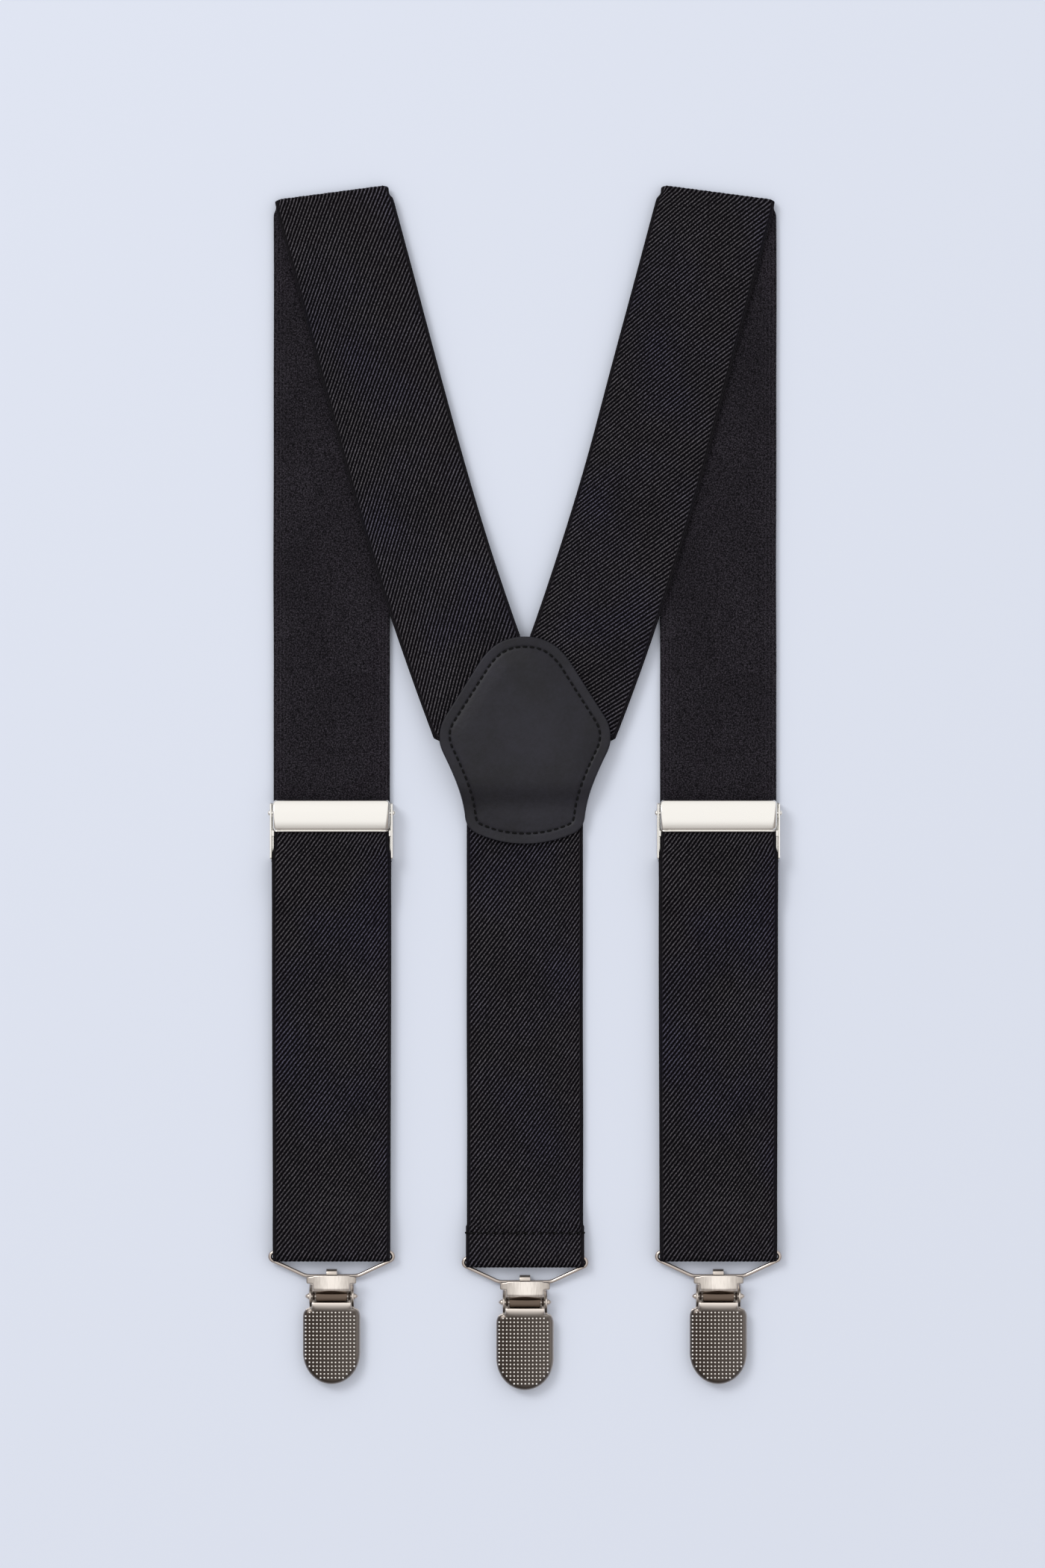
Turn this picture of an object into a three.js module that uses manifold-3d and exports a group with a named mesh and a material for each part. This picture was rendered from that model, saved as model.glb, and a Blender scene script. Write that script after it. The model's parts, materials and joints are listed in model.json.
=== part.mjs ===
// Clip-on Y-back braces of wide elastic webbing, laid out flat with the shoulder straps folded over.
// Millimetres. +Y points to the shoulder folds, +Z up off the surface, and z = 0 is the surface.
// The side straps mirror each other, so one is drawn at +X and its group is turned over for the other.
import * as THREE from "three";
import { mergeVertices } from "three/addons/utils/BufferGeometryUtils.js";
import Module from "manifold-3d";

const wasm = await Module();
wasm.setup();

// ---- Webbing ----
const webWidth = 35; // elastic webbing, edge to edge
const webThick = 1.2;
const layerGap = 0.3; // air between layers of webbing that lie on each other
const runFloor = 0.8; // underside of the single layer, which the adjuster's frame slides below

// ---- Layout ----
const strapOffset = 58.2; // middle of a side strap from the centre line
const foldY = 177.74; // axis of the shoulder fold, on the middle of the side strap
const diagonalEndX = 4.25; // middle of the diagonal's sewn end, inside the patch
const diagonalEndY = 3.05;
const diagonalTurn = THREE.MathUtils.degToRad(7.33); // it curves in by this much on its way there
const straightShare = 0.41; // of the diagonal's length, from the fold down, has no curve
const sideHoopY = -140.95; // hoop bar of the side straps
const backHoopY = -142.75; // hoop bar of the back strap
const adjusterY = -7.8; // pivot of each adjuster's cover
const upperEndY = 34; // the shoulder strap's piece ends here, and the lower strap's goes on
const loopReach = 5; // the piece that loops the hoop's bar reaches this far above it

// ---- Leather patch ----
const patchTop = 45.2;
const patchBottom = -17.1;
const cornerY = 13.5; // height of its two side corners
const cornerLap = 8.4; // they stand this far outside the back strap's edges
const footLap = 0.1; // and the bottom corners this far
const leatherThick = 1.2;
const seamInset = 3.1; // stitch line from the patch's edge
const threadWidth = 0.5;
const backStrapTop = 10; // upper end of the back strap, inside the patch
const hemReach = 10.65; // the back strap's turned-back end reaches this far above its hoop's bar
const hemSeamBelow = 2; // and is sewn this far below its cut edge

// ---- Wire hoop ----
const wireRadius = 0.6;
const wireClearance = 0.15; // between the wire and what wraps it
const hoopEndGap = 0.25; // from the webbing's edge to the wire beside it
const hoopFoot = 7; // half width of the lower bar
const hoopDrop = 6.3; // from the strap's bar to the clip's bar, seen from above
const hoopShoulder = 0.45; // the wire turns in this far below the webbing's loop
const hoopCorner = 1;

// ---- Adjuster ----
const frameSheet = 0.5;
const frameWallGap = 0.65; // from the webbing's edge to the wall's inner face
const frameAbove = 3; // frame reaches this far above the pivot
const frameBelow = 13.9; // and this far below it
const frameRise = 1; // the walls stand this far above the cover's pivot
const barBelow = 5.1; // upper edge of the sewn-in bar, below the pivot
const barWidth = 2;
const barThick = 0.8;
const barGap = 0.15; // between the bar and the webbing's ends on each side of it
const rivetRadius = 0.5;
const rivetClearance = 0.12;
const coverAbove = 3.9;
const coverBelow = 5.8;
const coverSheet = 0.6;
const lipGap = 0.3; // from the webbing on the bar to the cover's lower lip
const edgeDip = 0.2; // the cover's upper edge lies this far below its lip
const pivotDip = 0.9; // and its pivot this far
const coverCrown = 1.5; // rise of the cover's middle
const cheekRadius = 1.3;
const toothCount = 16;
const toothDepth = 0.8;
const tailEnd = 19.2; // cut end of the webbing that wraps the bar, below the pivot
const seamBelow = 14.5; // stitch row below the pivot

// ---- Clip ----
const clipSheet = 0.7;
const pinRadius = 0.6;
const pinClearance = 0.12;
const pinLift = 0.1; // the pin's axis above the front jaw's underside
const pinHalfLength = 7.95;
const clipBarAbove = 5.95; // hoop bar above the clip's pin
const earHalfWidth = 6.7; // outer face of the ears
const earSheet = 0.6;
const earReach = 3.5;
const jawHalfWidth = 8.6;
const jawShoulder = 3.3; // where the jaw begins to widen, below the pin
const shoulderRadius = 2.6;
const jawSideEnd = 16.9; // straight sides end here, below the pin
const jawEnd = 26.4;
const jawSlack = 0.3; // between the two grips when the clip is shut
const gripThick = 1.1;
const gripInset = 0.8;
const gripStart = 6.5; // upper edge of the grips, below the pin
const neckHalfWidth = 5.9;
const neckRoll = 1; // the neck's roll stands this far above the jaw's underside
const leverArm = 7.5;
const leverHalfWidth = 5.6;
const leverTop = 6;
const leverArmFoot = 3.9; // the arms' lower edge above the pin
const leverFoot = 1.2; // the lever's sheet turns down to its barrel here
const leverGap = 0.6; // from the lever's barrel to its sheet
const leverSheet = 0.65;
const barrelRadius = 1.5;
const lobe = 0.3; // the lever's cam stands this far proud of its barrel
const curlHalfWidth = 1.6;
const curlSheet = 0.6;
const curlLift = 0.15; // the curl round the hoop stands this far off the surface

// Worked-out levels and places
const half = webThick / 2;
const layer = webThick + layerGap;
const runZ = runFloor + half; // middle of the lowest layer
const overZ = runZ + layer; // middle of a layer that lies on it
const wrapRadius = wireRadius + wireClearance + half; // middle of the webbing round a bar
const hoopZ = runZ + wrapRadius;
const foldRadius = layer / 2;
const strapBaseZ = leatherThick + layerGap / 2; // the lowest webbing in the patch lies on this
const frontLeatherZ = strapBaseZ + 3 * layer;
const patchHalfWidth = webWidth / 2 + cornerLap;
const patchFoot = webWidth / 2 + footLap;
const hoopHalfWidth = webWidth / 2 + hoopEndGap + wireRadius;
const curlRadius = wireRadius + wireClearance + curlSheet;
const clipBarZ = curlRadius + curlLift;
const sideClipY = sideHoopY - hoopDrop - clipBarAbove;
const backClipY = backHoopY - hoopDrop - clipBarAbove;
const loopStartY = sideHoopY + loopReach;
const hemTop = backHoopY + hemReach;
const wallInner = webWidth / 2 + frameWallGap;
const wallOuter = wallInner + frameSheet;
const barZ = overZ + half + barGap + barThick / 2;
const barTopZ = 2 * barZ - overZ; // middle of the webbing that lies on the bar
const coverLipZ = barTopZ + half + lipGap;
const coverEdgeZ = coverLipZ - edgeDip;
const pivotZ = coverLipZ - pivotDip;
const frameHeight = pivotZ + frameRise;
const jawZ = clipSheet + 2 * gripThick + jawSlack; // underside of the front jaw
const pinZ = jawZ + pinLift;
const leverZ = pinZ + barrelRadius + leverGap;
const pinBore = pinRadius + pinClearance;

// The diagonal, for a length of 1: how far it reaches along its first heading and to the side.
const reachOn = straightShare + ((1 - straightShare) * Math.sin(diagonalTurn)) / diagonalTurn;
const reachIn = ((1 - straightShare) * (1 - Math.cos(diagonalTurn))) / diagonalTurn;
const chord = new THREE.Vector2(strapOffset - diagonalEndX, foldY - diagonalEndY);
const diagonalHeading = Math.atan2(chord.x, chord.y) - Math.atan2(reachIn, reachOn);
const diagonalLength = chord.length() / Math.hypot(reachOn, reachIn);
const straightLength = straightShare * diagonalLength;
const bendRadius = (diagonalLength - straightLength) / diagonalTurn;
const foldTilt = diagonalHeading / 2; // the fold line drops by this much towards the outside

const colours = {
  webbing: new THREE.MeshStandardMaterial({ color: 0x1b191e, roughness: 0.95, metalness: 0 }),
  leather: new THREE.MeshStandardMaterial({ color: 0x323237, roughness: 0.6, metalness: 0 }),
  thread: new THREE.MeshStandardMaterial({ color: 0x101012, roughness: 0.9, metalness: 0 }),
  nickel: new THREE.MeshStandardMaterial({ color: 0xd9d6cf, roughness: 0.2, metalness: 1 }),
  satinNickel: new THREE.MeshStandardMaterial({ color: 0xbdb6aa, roughness: 0.35, metalness: 1 }),
  gunmetal: new THREE.MeshStandardMaterial({ color: 0x5a5048, roughness: 0.4, metalness: 1 }),
  grip: new THREE.MeshStandardMaterial({ color: 0x202020, roughness: 0.7, metalness: 0 }),
};

function named(name, geometry, material) {
  const mesh = new THREE.Mesh(geometry, material);
  mesh.name = name;
  return mesh;
}

function toSolid(geometry) {
  const bare = geometry.clone();
  bare.deleteAttribute("normal");
  bare.deleteAttribute("uv");
  const welded = mergeVertices(bare, 1e-4);
  return new wasm.Manifold(
    new wasm.Mesh({
      numProp: 3,
      vertProperties: new Float32Array(welded.attributes.position.array),
      triVerts: new Uint32Array(welded.index.array),
    }),
  );
}

function toGeometry(solid) {
  const mesh = solid.getMesh();
  const geometry = new THREE.BufferGeometry();
  geometry.setAttribute("position", new THREE.BufferAttribute(mesh.vertProperties, 3));
  geometry.setIndex(new THREE.BufferAttribute(mesh.triVerts, 1));
  geometry.computeVertexNormals();
  return geometry;
}

function join(...geometries) {
  return toGeometry(geometries.map(toSolid).reduce((whole, next) => whole.add(next)));
}

function cut(geometry, ...tools) {
  return toGeometry(tools.map(toSolid).reduce((rest, tool) => rest.subtract(tool), toSolid(geometry)));
}

function block(x0, x1, y0, y1, z0, z1) {
  const box = new THREE.BoxGeometry(x1 - x0, y1 - y0, z1 - z0);
  return box.translate((x0 + x1) / 2, (y0 + y1) / 2, (z0 + z1) / 2);
}

// A plate cut to an outline that is seen from above.
function plate(outline, z0, z1, curveSegments = 8) {
  const options = { depth: z1 - z0, bevelEnabled: false, curveSegments };
  return new THREE.ExtrudeGeometry(outline, options).translate(0, 0, z0);
}

// A bent sheet drawn from the side: the outline's x runs along Y and its y along Z.
function profile(outline, halfWidth, curveSegments = 8) {
  const options = { depth: 2 * halfWidth, bevelEnabled: false, curveSegments };
  const sheet = new THREE.ExtrudeGeometry(outline, options).translate(0, 0, -halfWidth);
  return sheet.applyMatrix4(new THREE.Matrix4().set(0, 0, 1, 0, 1, 0, 0, 0, 0, 1, 0, 0, 0, 0, 0, 1));
}

// A rod or bore along X.
function rod(radius, x0, x1, y, z, sides = 12) {
  const cylinder = new THREE.CylinderGeometry(radius, radius, x1 - x0, sides).rotateZ(Math.PI / 2);
  return cylinder.translate((x0 + x1) / 2, y, z);
}

// ---- Webbing ----

// A flat band cut into slices, whose corners are moved to where `place` says the web lies.
function band(width, stations, place) {
  const slices = stations.length - 1;
  const geometry = new THREE.BoxGeometry(width, slices, webThick, 1, slices, 1);
  const position = geometry.attributes.position;
  for (let i = 0; i < position.count; i++) {
    const station = stations[Math.round(position.getY(i) + slices / 2)];
    const at = place(position.getX(i), station, position.getZ(i));
    position.setXYZ(i, at.x, at.y, at.z);
  }
  geometry.computeVertexNormals();
  return geometry;
}

// Webbing that only bends up and down: its middle line is a path drawn from the side.
function sideways(width, path, divisions = 8) {
  const line = path.getPoints(divisions);
  const slices = line.map((point, i) => {
    const before = line[Math.max(i - 1, 0)];
    const after = line[Math.min(i + 1, line.length - 1)];
    const away = new THREE.Vector2().subVectors(point, before).normalize();
    const on = new THREE.Vector2().subVectors(after, point).normalize();
    const along = new THREE.Vector2().addVectors(away, on).normalize();
    const mitre = 1 / Math.max(along.dot(on.lengthSq() > 0 ? on : away), 0.5);
    return { point, up: new THREE.Vector2(-along.y, along.x).multiplyScalar(mitre) };
  });
  return band(width, slices, (u, slice, w) => ({
    x: u,
    y: slice.point.x + w * slice.up.x,
    z: slice.point.y + w * slice.up.y,
  }));
}

// The diagonal's middle line at a distance from the fold: straight at first, then a wide arc.
function diagonalAt(distance) {
  const heading = diagonalHeading;
  const straight = Math.min(distance, straightLength);
  const turned = Math.max(distance - straightLength, 0) / bendRadius;
  const end = heading + turned;
  return {
    x: -Math.sin(heading) * straight + bendRadius * (Math.cos(end) - Math.cos(heading)),
    y: -Math.cos(heading) * straight - bendRadius * (Math.sin(end) - Math.sin(heading)),
    heading: end,
  };
}

// Where a point of the shoulder strap lies. `v` runs along the strap and is 0 on the fold's axis,
// `u` across it and `w` through it; `rise` lifts the diagonal's end to its level in the patch.
function shoulderPlace(u, v, w, rise) {
  const past = v * Math.cos(foldTilt) + u * Math.sin(foldTilt);
  const lap = Math.PI * foldRadius;
  if (past <= 0) return { x: strapOffset + u, y: foldY + v, z: runZ + w };
  const along = u * Math.cos(foldTilt) - v * Math.sin(foldTilt);
  const angle = Math.min(past / foldRadius, Math.PI);
  const beyond = (foldRadius - w) * Math.sin(angle) - Math.max(past - lap, 0);
  const x = along * Math.cos(foldTilt) + beyond * Math.sin(foldTilt);
  const y = -along * Math.sin(foldTilt) + beyond * Math.cos(foldTilt);
  const z = runZ + foldRadius - (foldRadius - w) * Math.cos(angle);
  const heading = diagonalHeading;
  const distance = -x * Math.sin(heading) - y * Math.cos(heading);
  const across = x * Math.cos(heading) - y * Math.sin(heading);
  if (distance <= 0) return { x: strapOffset + x, y: foldY + y, z };
  const middle = diagonalAt(distance);
  const climb = rise * THREE.MathUtils.smoothstep(distance, 95, 132);
  return {
    x: strapOffset + middle.x + across * Math.cos(middle.heading),
    y: foldY + middle.y - across * Math.sin(middle.heading),
    z: z + climb,
  };
}

// The shoulder strap from the vertical stretch over the fold to its level-cut end in the patch.
function shoulderStrap(rise) {
  const lap = Math.PI * foldRadius / Math.cos(foldTilt);
  const stations = [upperEndY - foldY, -90, -45, -20, -12, -6];
  for (let i = 0; i <= 8; i++) stations.push((lap * i) / 8);
  for (const v of [8, 15, 22]) stations.push(v);
  for (let v = 40; v < diagonalLength - 24; v += 9) stations.push(v);
  for (const left of [24, 16, 8, 0]) stations.push(diagonalLength - left);
  const endHeading = diagonalAt(diagonalLength).heading;
  return band(webWidth, stations, (u, v, w) => {
    const atFold = 1 - THREE.MathUtils.smoothstep(Math.abs(v - lap / 2), 4, 18);
    const atEnd = THREE.MathUtils.smoothstep(v, diagonalLength - 30, diagonalLength);
    const skew = atFold * Math.tan(foldTilt) + atEnd * Math.tan(endHeading);
    return shoulderPlace(u, v - u * skew, w, rise);
  });
}

function pathFrom(y, z) {
  const path = new THREE.Path();
  path.moveTo(y, z);
  return path;
}

// An S-curve from the path's end to a new place and level, level at both ends.
function easeTo(path, fromY, fromZ, y, z) {
  const middle = (fromY + y) / 2;
  path.bezierCurveTo(middle, fromZ, middle, z, y, z);
  return path;
}

function strapRun() {
  const path = pathFrom(upperEndY, runZ);
  path.lineTo(loopStartY, runZ);
  return sideways(webWidth, path);
}

function strapLoop() {
  const path = pathFrom(loopStartY, runZ);
  path.lineTo(sideHoopY, runZ);
  path.absarc(sideHoopY, hoopZ, wrapRadius, -Math.PI / 2, Math.PI / 2, true);
  path.lineTo(loopStartY, hoopZ + wrapRadius);
  return sideways(webWidth, path, 6);
}

// The front layer: up from the hoop, round the adjuster's bar, and back under itself to its sewn end.
function returnStrap() {
  const top = hoopZ + wrapRadius;
  const tailZ = overZ;
  const barMiddle = adjusterY - barBelow;
  const tailY = adjusterY - tailEnd;
  const overTail = tailZ + layer - 0.1;
  const path = pathFrom(loopStartY, top);
  path.lineTo(loopStartY + 1, top);
  easeTo(path, loopStartY + 1, top, loopStartY + 14, overZ);
  path.lineTo(tailY - 12, overZ);
  easeTo(path, tailY - 12, overZ, tailY - 1, overTail);
  easeTo(path, tailY - 1, overTail, barMiddle - barWidth, barTopZ);
  path.lineTo(barMiddle, barTopZ);
  path.absarc(barMiddle, barZ, barTopZ - barZ, Math.PI / 2, -Math.PI / 2, true);
  path.lineTo(tailY, tailZ);
  return sideways(webWidth, path, 6);
}

function backStrap() {
  const overHem = overZ;
  const top = hoopZ + wrapRadius;
  const inPatch = strapBaseZ + half;
  const path = pathFrom(backStrapTop, inPatch);
  path.lineTo(patchBottom, inPatch);
  easeTo(path, patchBottom, inPatch, patchBottom - 10, runZ);
  path.lineTo(hemTop + 9, runZ);
  easeTo(path, hemTop + 9, runZ, hemTop + 0.5, overHem);
  easeTo(path, hemTop + 0.5, overHem, backHoopY + 1, top);
  path.lineTo(backHoopY, top);
  path.absarc(backHoopY, hoopZ, wrapRadius, Math.PI / 2, Math.PI * 1.5, false);
  path.lineTo(hemTop, runZ);
  return sideways(webWidth, path, 6);
}

// A row of stitches right across the webbing, lying on it.
function stitchRow(y, z) {
  const to = webWidth / 2;
  return block(-to, to, y - threadWidth / 2, y + threadWidth / 2, z, z + threadWidth / 2);
}

// ---- Patch ----

// The patch's outline: a rounded nose, straight shoulders to the side corners, hollow flanks
// down to the foot and a shallow curved bottom edge.
function patchOutline() {
  const shape = new THREE.Shape();
  shape.moveTo(0, patchBottom);
  shape.quadraticCurveTo(patchFoot * 0.4, patchBottom, patchFoot - 4.2, patchBottom + 2.6);
  shape.quadraticCurveTo(patchFoot - 0.2, patchBottom + 3.9, patchFoot + 0.3, patchBottom + 8);
  const hollow = [patchFoot + 1, patchBottom + 14.6, patchHalfWidth - 4.7, cornerY - 10];
  shape.bezierCurveTo(...hollow, patchHalfWidth - 1.2, cornerY - 2.8);
  shape.quadraticCurveTo(patchHalfWidth + 1, cornerY + 2.4, patchHalfWidth - 1.6, cornerY + 7.2);
  shape.lineTo(13.5, patchTop - 7.4);
  shape.bezierCurveTo(10.5, patchTop - 3.2, 7, patchTop, 0, patchTop);
  const right = shape.getPoints(4);
  const left = right.slice(1, -1).reverse();
  return [...right, ...left.map((p) => new THREE.Vector2(-p.x, p.y))];
}

// The same outline moved inwards by a fixed distance.
function inset(outline, distance) {
  return outline.map((point, i) => {
    const before = outline[(i + outline.length - 1) % outline.length];
    const after = outline[(i + 1) % outline.length];
    const along = new THREE.Vector2().subVectors(after, before).normalize();
    return new THREE.Vector2(point.x - along.y * distance, point.y + along.x * distance);
  });
}

// The front leather lies on the shoulder straps and comes down to the back strap at its foot.
function leatherDrop(y) {
  const low = strapBaseZ + layer;
  const share = 1 - THREE.MathUtils.smoothstep(y, patchBottom + 3, 3);
  return share * (low - frontLeatherZ);
}

function frontLeather() {
  const outline = patchOutline();
  const middle = new THREE.Vector2(0, 12);
  const rings = [0.35, 0.6, 0.78, 0.88, 1];
  const section = [new THREE.Vector2(0, 0)];
  for (const ring of rings) section.push(new THREE.Vector2(ring, 0));
  for (const ring of rings.reverse()) section.push(new THREE.Vector2(ring, leatherThick));
  section.push(new THREE.Vector2(0, leatherThick));
  const disc = new THREE.LatheGeometry(section, outline.length);
  const position = disc.attributes.position;
  for (let i = 0; i < position.count; i++) {
    const share = Math.hypot(position.getX(i), position.getZ(i));
    const turn = Math.atan2(position.getX(i), position.getZ(i)) / (2 * Math.PI);
    const spoke = (Math.round(turn * outline.length) + outline.length) % outline.length;
    const point = middle.clone().lerp(outline[spoke], share);
    position.setXYZ(i, point.x, point.y, frontLeatherZ + position.getY(i) + leatherDrop(point.y));
  }
  disc.computeVertexNormals();
  return disc;
}

function patchSeam() {
  const outline = patchOutline();
  const shape = new THREE.Shape(inset(outline, seamInset - threadWidth / 2));
  shape.holes.push(new THREE.Path(inset(outline, seamInset + threadWidth / 2)));
  const lift = frontLeatherZ + leatherThick + 0.3;
  const seam = plate(shape, lift, lift + threadWidth / 2);
  const position = seam.attributes.position;
  for (let i = 0; i < position.count; i++) {
    position.setZ(i, position.getZ(i) + leatherDrop(position.getY(i)));
  }
  return seam;
}

// ---- Hoop ----

// The wire's route: its two ends meet in the middle of the strap's bar, inside the webbing.
function hoopWire() {
  const shoulder = -(wrapRadius + half + hoopShoulder);
  const at = (x, y) => new THREE.Vector3(x, y, hoopZ - (y / hoopDrop) * (clipBarZ - hoopZ));
  const corners = [
    at(0.15, 0),
    at(hoopHalfWidth, 0),
    at(hoopHalfWidth, shoulder),
    at(hoopFoot, -hoopDrop),
    at(-hoopFoot, -hoopDrop),
    at(-hoopHalfWidth, shoulder),
    at(-hoopHalfWidth, 0),
    at(-0.15, 0),
  ];
  const route = new THREE.CurvePath();
  let from = corners[0];
  for (let i = 1; i < corners.length - 1; i++) {
    const back = new THREE.Vector3().subVectors(from, corners[i]).setLength(hoopCorner);
    const on = new THREE.Vector3().subVectors(corners[i + 1], corners[i]).setLength(hoopCorner);
    const start = corners[i].clone().add(back);
    const end = corners[i].clone().add(on);
    route.add(new THREE.LineCurve3(from, start));
    route.add(new THREE.QuadraticBezierCurve3(start, corners[i].clone(), end));
    from = end;
  }
  route.add(new THREE.LineCurve3(from, corners[corners.length - 1]));
  const section = new THREE.Shape();
  section.absarc(0, 0, wireRadius, 0, 2 * Math.PI);
  const options = { steps: 46, curveSegments: 3, extrudePath: route, bevelEnabled: false };
  return new THREE.ExtrudeGeometry(section, options);
}

// ---- Adjuster, drawn about its pivot at y = 0 ----

function adjusterFrame() {
  const back = block(-wallOuter, wallOuter, -frameBelow, frameAbove, 0, frameSheet);
  const wall = (x0, x1) => block(x0, x1, -frameBelow, frameAbove, 0, frameHeight);
  const barTop = barZ + barThick / 2;
  const barLow = barZ - barThick / 2;
  const barEnd = wallInner + frameSheet / 2;
  const bar = block(-barEnd, barEnd, -barBelow - barWidth, -barBelow, barLow, barTop);
  const whole = join(back, wall(-wallOuter, -wallInner), wall(wallInner, wallOuter), bar);
  return cut(whole, rod(rivetRadius + rivetClearance, -wallOuter - 1, wallOuter + 1, 0, pivotZ));
}

// One of the two rivets: a head outside the wall and a stem through the wall and the cover's cheek.
function adjusterRivet() {
  const inner = wallInner - 1.15;
  const head = rod(0.9, wallOuter + 0.05, wallOuter + 0.6, 0, pivotZ);
  return join(head, rod(rivetRadius, inner, wallOuter + 0.3, 0, pivotZ));
}

function adjusterCover() {
  const top = new THREE.Shape();
  const crest = (coverAbove - coverBelow) / 2;
  const lift = Math.max(coverEdgeZ, coverLipZ) + 2 * coverCrown;
  top.moveTo(coverAbove, coverEdgeZ);
  top.quadraticCurveTo(crest, lift, -coverBelow, coverLipZ);
  top.lineTo(-coverBelow, coverLipZ + coverSheet);
  top.quadraticCurveTo(crest, lift + coverSheet, coverAbove, coverEdgeZ + coverSheet);
  const crownZ = (coverEdgeZ + coverLipZ) / 4 + lift / 2;
  const shell = profile(top, webWidth / 2);
  const cheekInner = webWidth / 2 - coverSheet;
  const cheek = (x0, x1) => {
    const web = block(x0, x1, -cheekRadius, cheekRadius, pivotZ, crownZ - 0.15);
    return join(web, rod(cheekRadius, x0, x1, 0, pivotZ));
  };
  const combHalf = cheekInner - 0.6;
  const combTop = crownZ + coverSheet / 2;
  const comb = new THREE.Shape();
  const pitch = (2 * combHalf) / toothCount;
  const tip = runZ + half + 0.15;
  comb.moveTo(-combHalf, combTop);
  comb.lineTo(-combHalf, tip + toothDepth);
  for (let i = 0; i < toothCount; i++) {
    comb.lineTo(-combHalf + (i + 0.5) * pitch, tip);
    comb.lineTo(-combHalf + (i + 1) * pitch, tip + toothDepth);
  }
  comb.lineTo(combHalf, combTop);
  const depth = { depth: coverSheet, bevelEnabled: false };
  const ridge = new THREE.ExtrudeGeometry(comb, depth).rotateX(Math.PI / 2).translate(0, coverSheet, 0);
  const whole = join(
    shell,
    cheek(-webWidth / 2, -cheekInner),
    cheek(cheekInner, webWidth / 2),
    ridge,
  );
  const bores = [-1, 1].map((end) => {
    const middle = end * (cheekInner + coverSheet / 2);
    return rod(rivetRadius + rivetClearance, middle - coverSheet, middle + coverSheet, 0, pivotZ);
  });
  return cut(whole, ...bores);
}

// ---- Clip, drawn about its pin at y = 0 ----

// The jaw's outline from its neck down: round shoulders, straight sides and an oval end.
function jawOutline(neck, top, inward) {
  const side = jawHalfWidth - inward;
  const radius = Math.min(shoulderRadius, side - neck);
  const shape = new THREE.Shape();
  shape.moveTo(-neck, -top);
  shape.lineTo(-neck, -jawShoulder - 0.4 - inward);
  const level = -jawShoulder - 0.4 - inward - radius;
  shape.quadraticCurveTo(-side, level + radius, -side, level);
  shape.lineTo(-side, -jawSideEnd);
  shape.absellipse(0, -jawSideEnd, side, jawEnd - jawSideEnd - inward, Math.PI, 2 * Math.PI, false, 0);
  shape.lineTo(side, level);
  shape.quadraticCurveTo(side, level + radius, neck, level + radius);
  shape.lineTo(neck, -top);
  return shape;
}

function gripOutline() {
  const side = jawHalfWidth - gripInset;
  const shape = new THREE.Shape();
  shape.moveTo(-side + 1.5, -gripStart);
  shape.quadraticCurveTo(-side, -gripStart, -side, -gripStart - 1.5);
  shape.lineTo(-side, -jawSideEnd);
  const drop = jawEnd - jawSideEnd - gripInset;
  shape.absellipse(0, -jawSideEnd, side, drop, Math.PI, 2 * Math.PI, false, 0);
  shape.lineTo(side, -gripStart - 1.5);
  shape.quadraticCurveTo(side, -gripStart, side - 1.5, -gripStart);
  shape.lineTo(-side + 1.5, -gripStart);
  return shape;
}

function clipBackPlate() {
  const jaw = plate(jawOutline(earHalfWidth, -earReach, 0.15), 0, clipSheet);
  const flange = block(-5.75, 5.75, earReach - 0.2, clipBarAbove - 0.5, 0, clipSheet);
  const ear = (x0, x1) => {
    const shape = new THREE.Shape();
    shape.moveTo(-earReach, 0);
    shape.lineTo(earReach, 0);
    shape.lineTo(2, pinZ + 0.6);
    shape.quadraticCurveTo(0, pinZ + 2.1, -2, pinZ + 0.6);
    shape.lineTo(-earReach, 0);
    return profile(shape, (x1 - x0) / 2, 4).translate((x0 + x1) / 2, 0, 0);
  };
  const inner = earHalfWidth - earSheet;
  const ring = cut(
    rod(curlRadius, -curlHalfWidth, curlHalfWidth, clipBarAbove, clipBarZ, 14),
    rod(wireRadius + wireClearance, -curlHalfWidth - 1, curlHalfWidth + 1, clipBarAbove, clipBarZ, 14),
  );
  const foot = block(-curlHalfWidth, curlHalfWidth, clipBarAbove - 1.6, clipBarAbove, 0.2, clipSheet);
  const whole = join(jaw, flange, ear(-earHalfWidth, -inner), ear(inner, earHalfWidth), ring, foot);
  return cut(whole, rod(pinBore, -earHalfWidth - 1, earHalfWidth + 1, 0, pinZ));
}

function clipFrontJaw() {
  const low = jawZ;
  const start = -(barrelRadius + lobe + 0.3);
  const sheet = plate(jawOutline(neckHalfWidth, -start, 0), low, low + clipSheet);
  const roll = new THREE.Shape();
  roll.moveTo(start, low);
  roll.quadraticCurveTo(start - 0.1, low + neckRoll, start - 1.1, low + neckRoll);
  roll.quadraticCurveTo(start - 2.3, low + neckRoll, start - 2.7, low + clipSheet);
  roll.lineTo(start - 2.7, low);
  roll.lineTo(start, low);
  const lug = (x0, x1) => {
    const neck = block(x0, x1, start - 0.5, -0.9, low, low + neckRoll - 0.1);
    return join(rod(barrelRadius, x0, x1, 0, pinZ), neck);
  };
  const lugOuter = earHalfWidth - earSheet - 0.35;
  const lugInner = lugOuter - clipSheet;
  const lugs = join(lug(-lugOuter, -lugInner), lug(lugInner, lugOuter));
  const whole = join(sheet, profile(roll, neckHalfWidth, 4), lugs);
  return cut(whole, rod(pinBore, -lugOuter - 1, lugOuter + 1, 0, pinZ));
}

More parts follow.
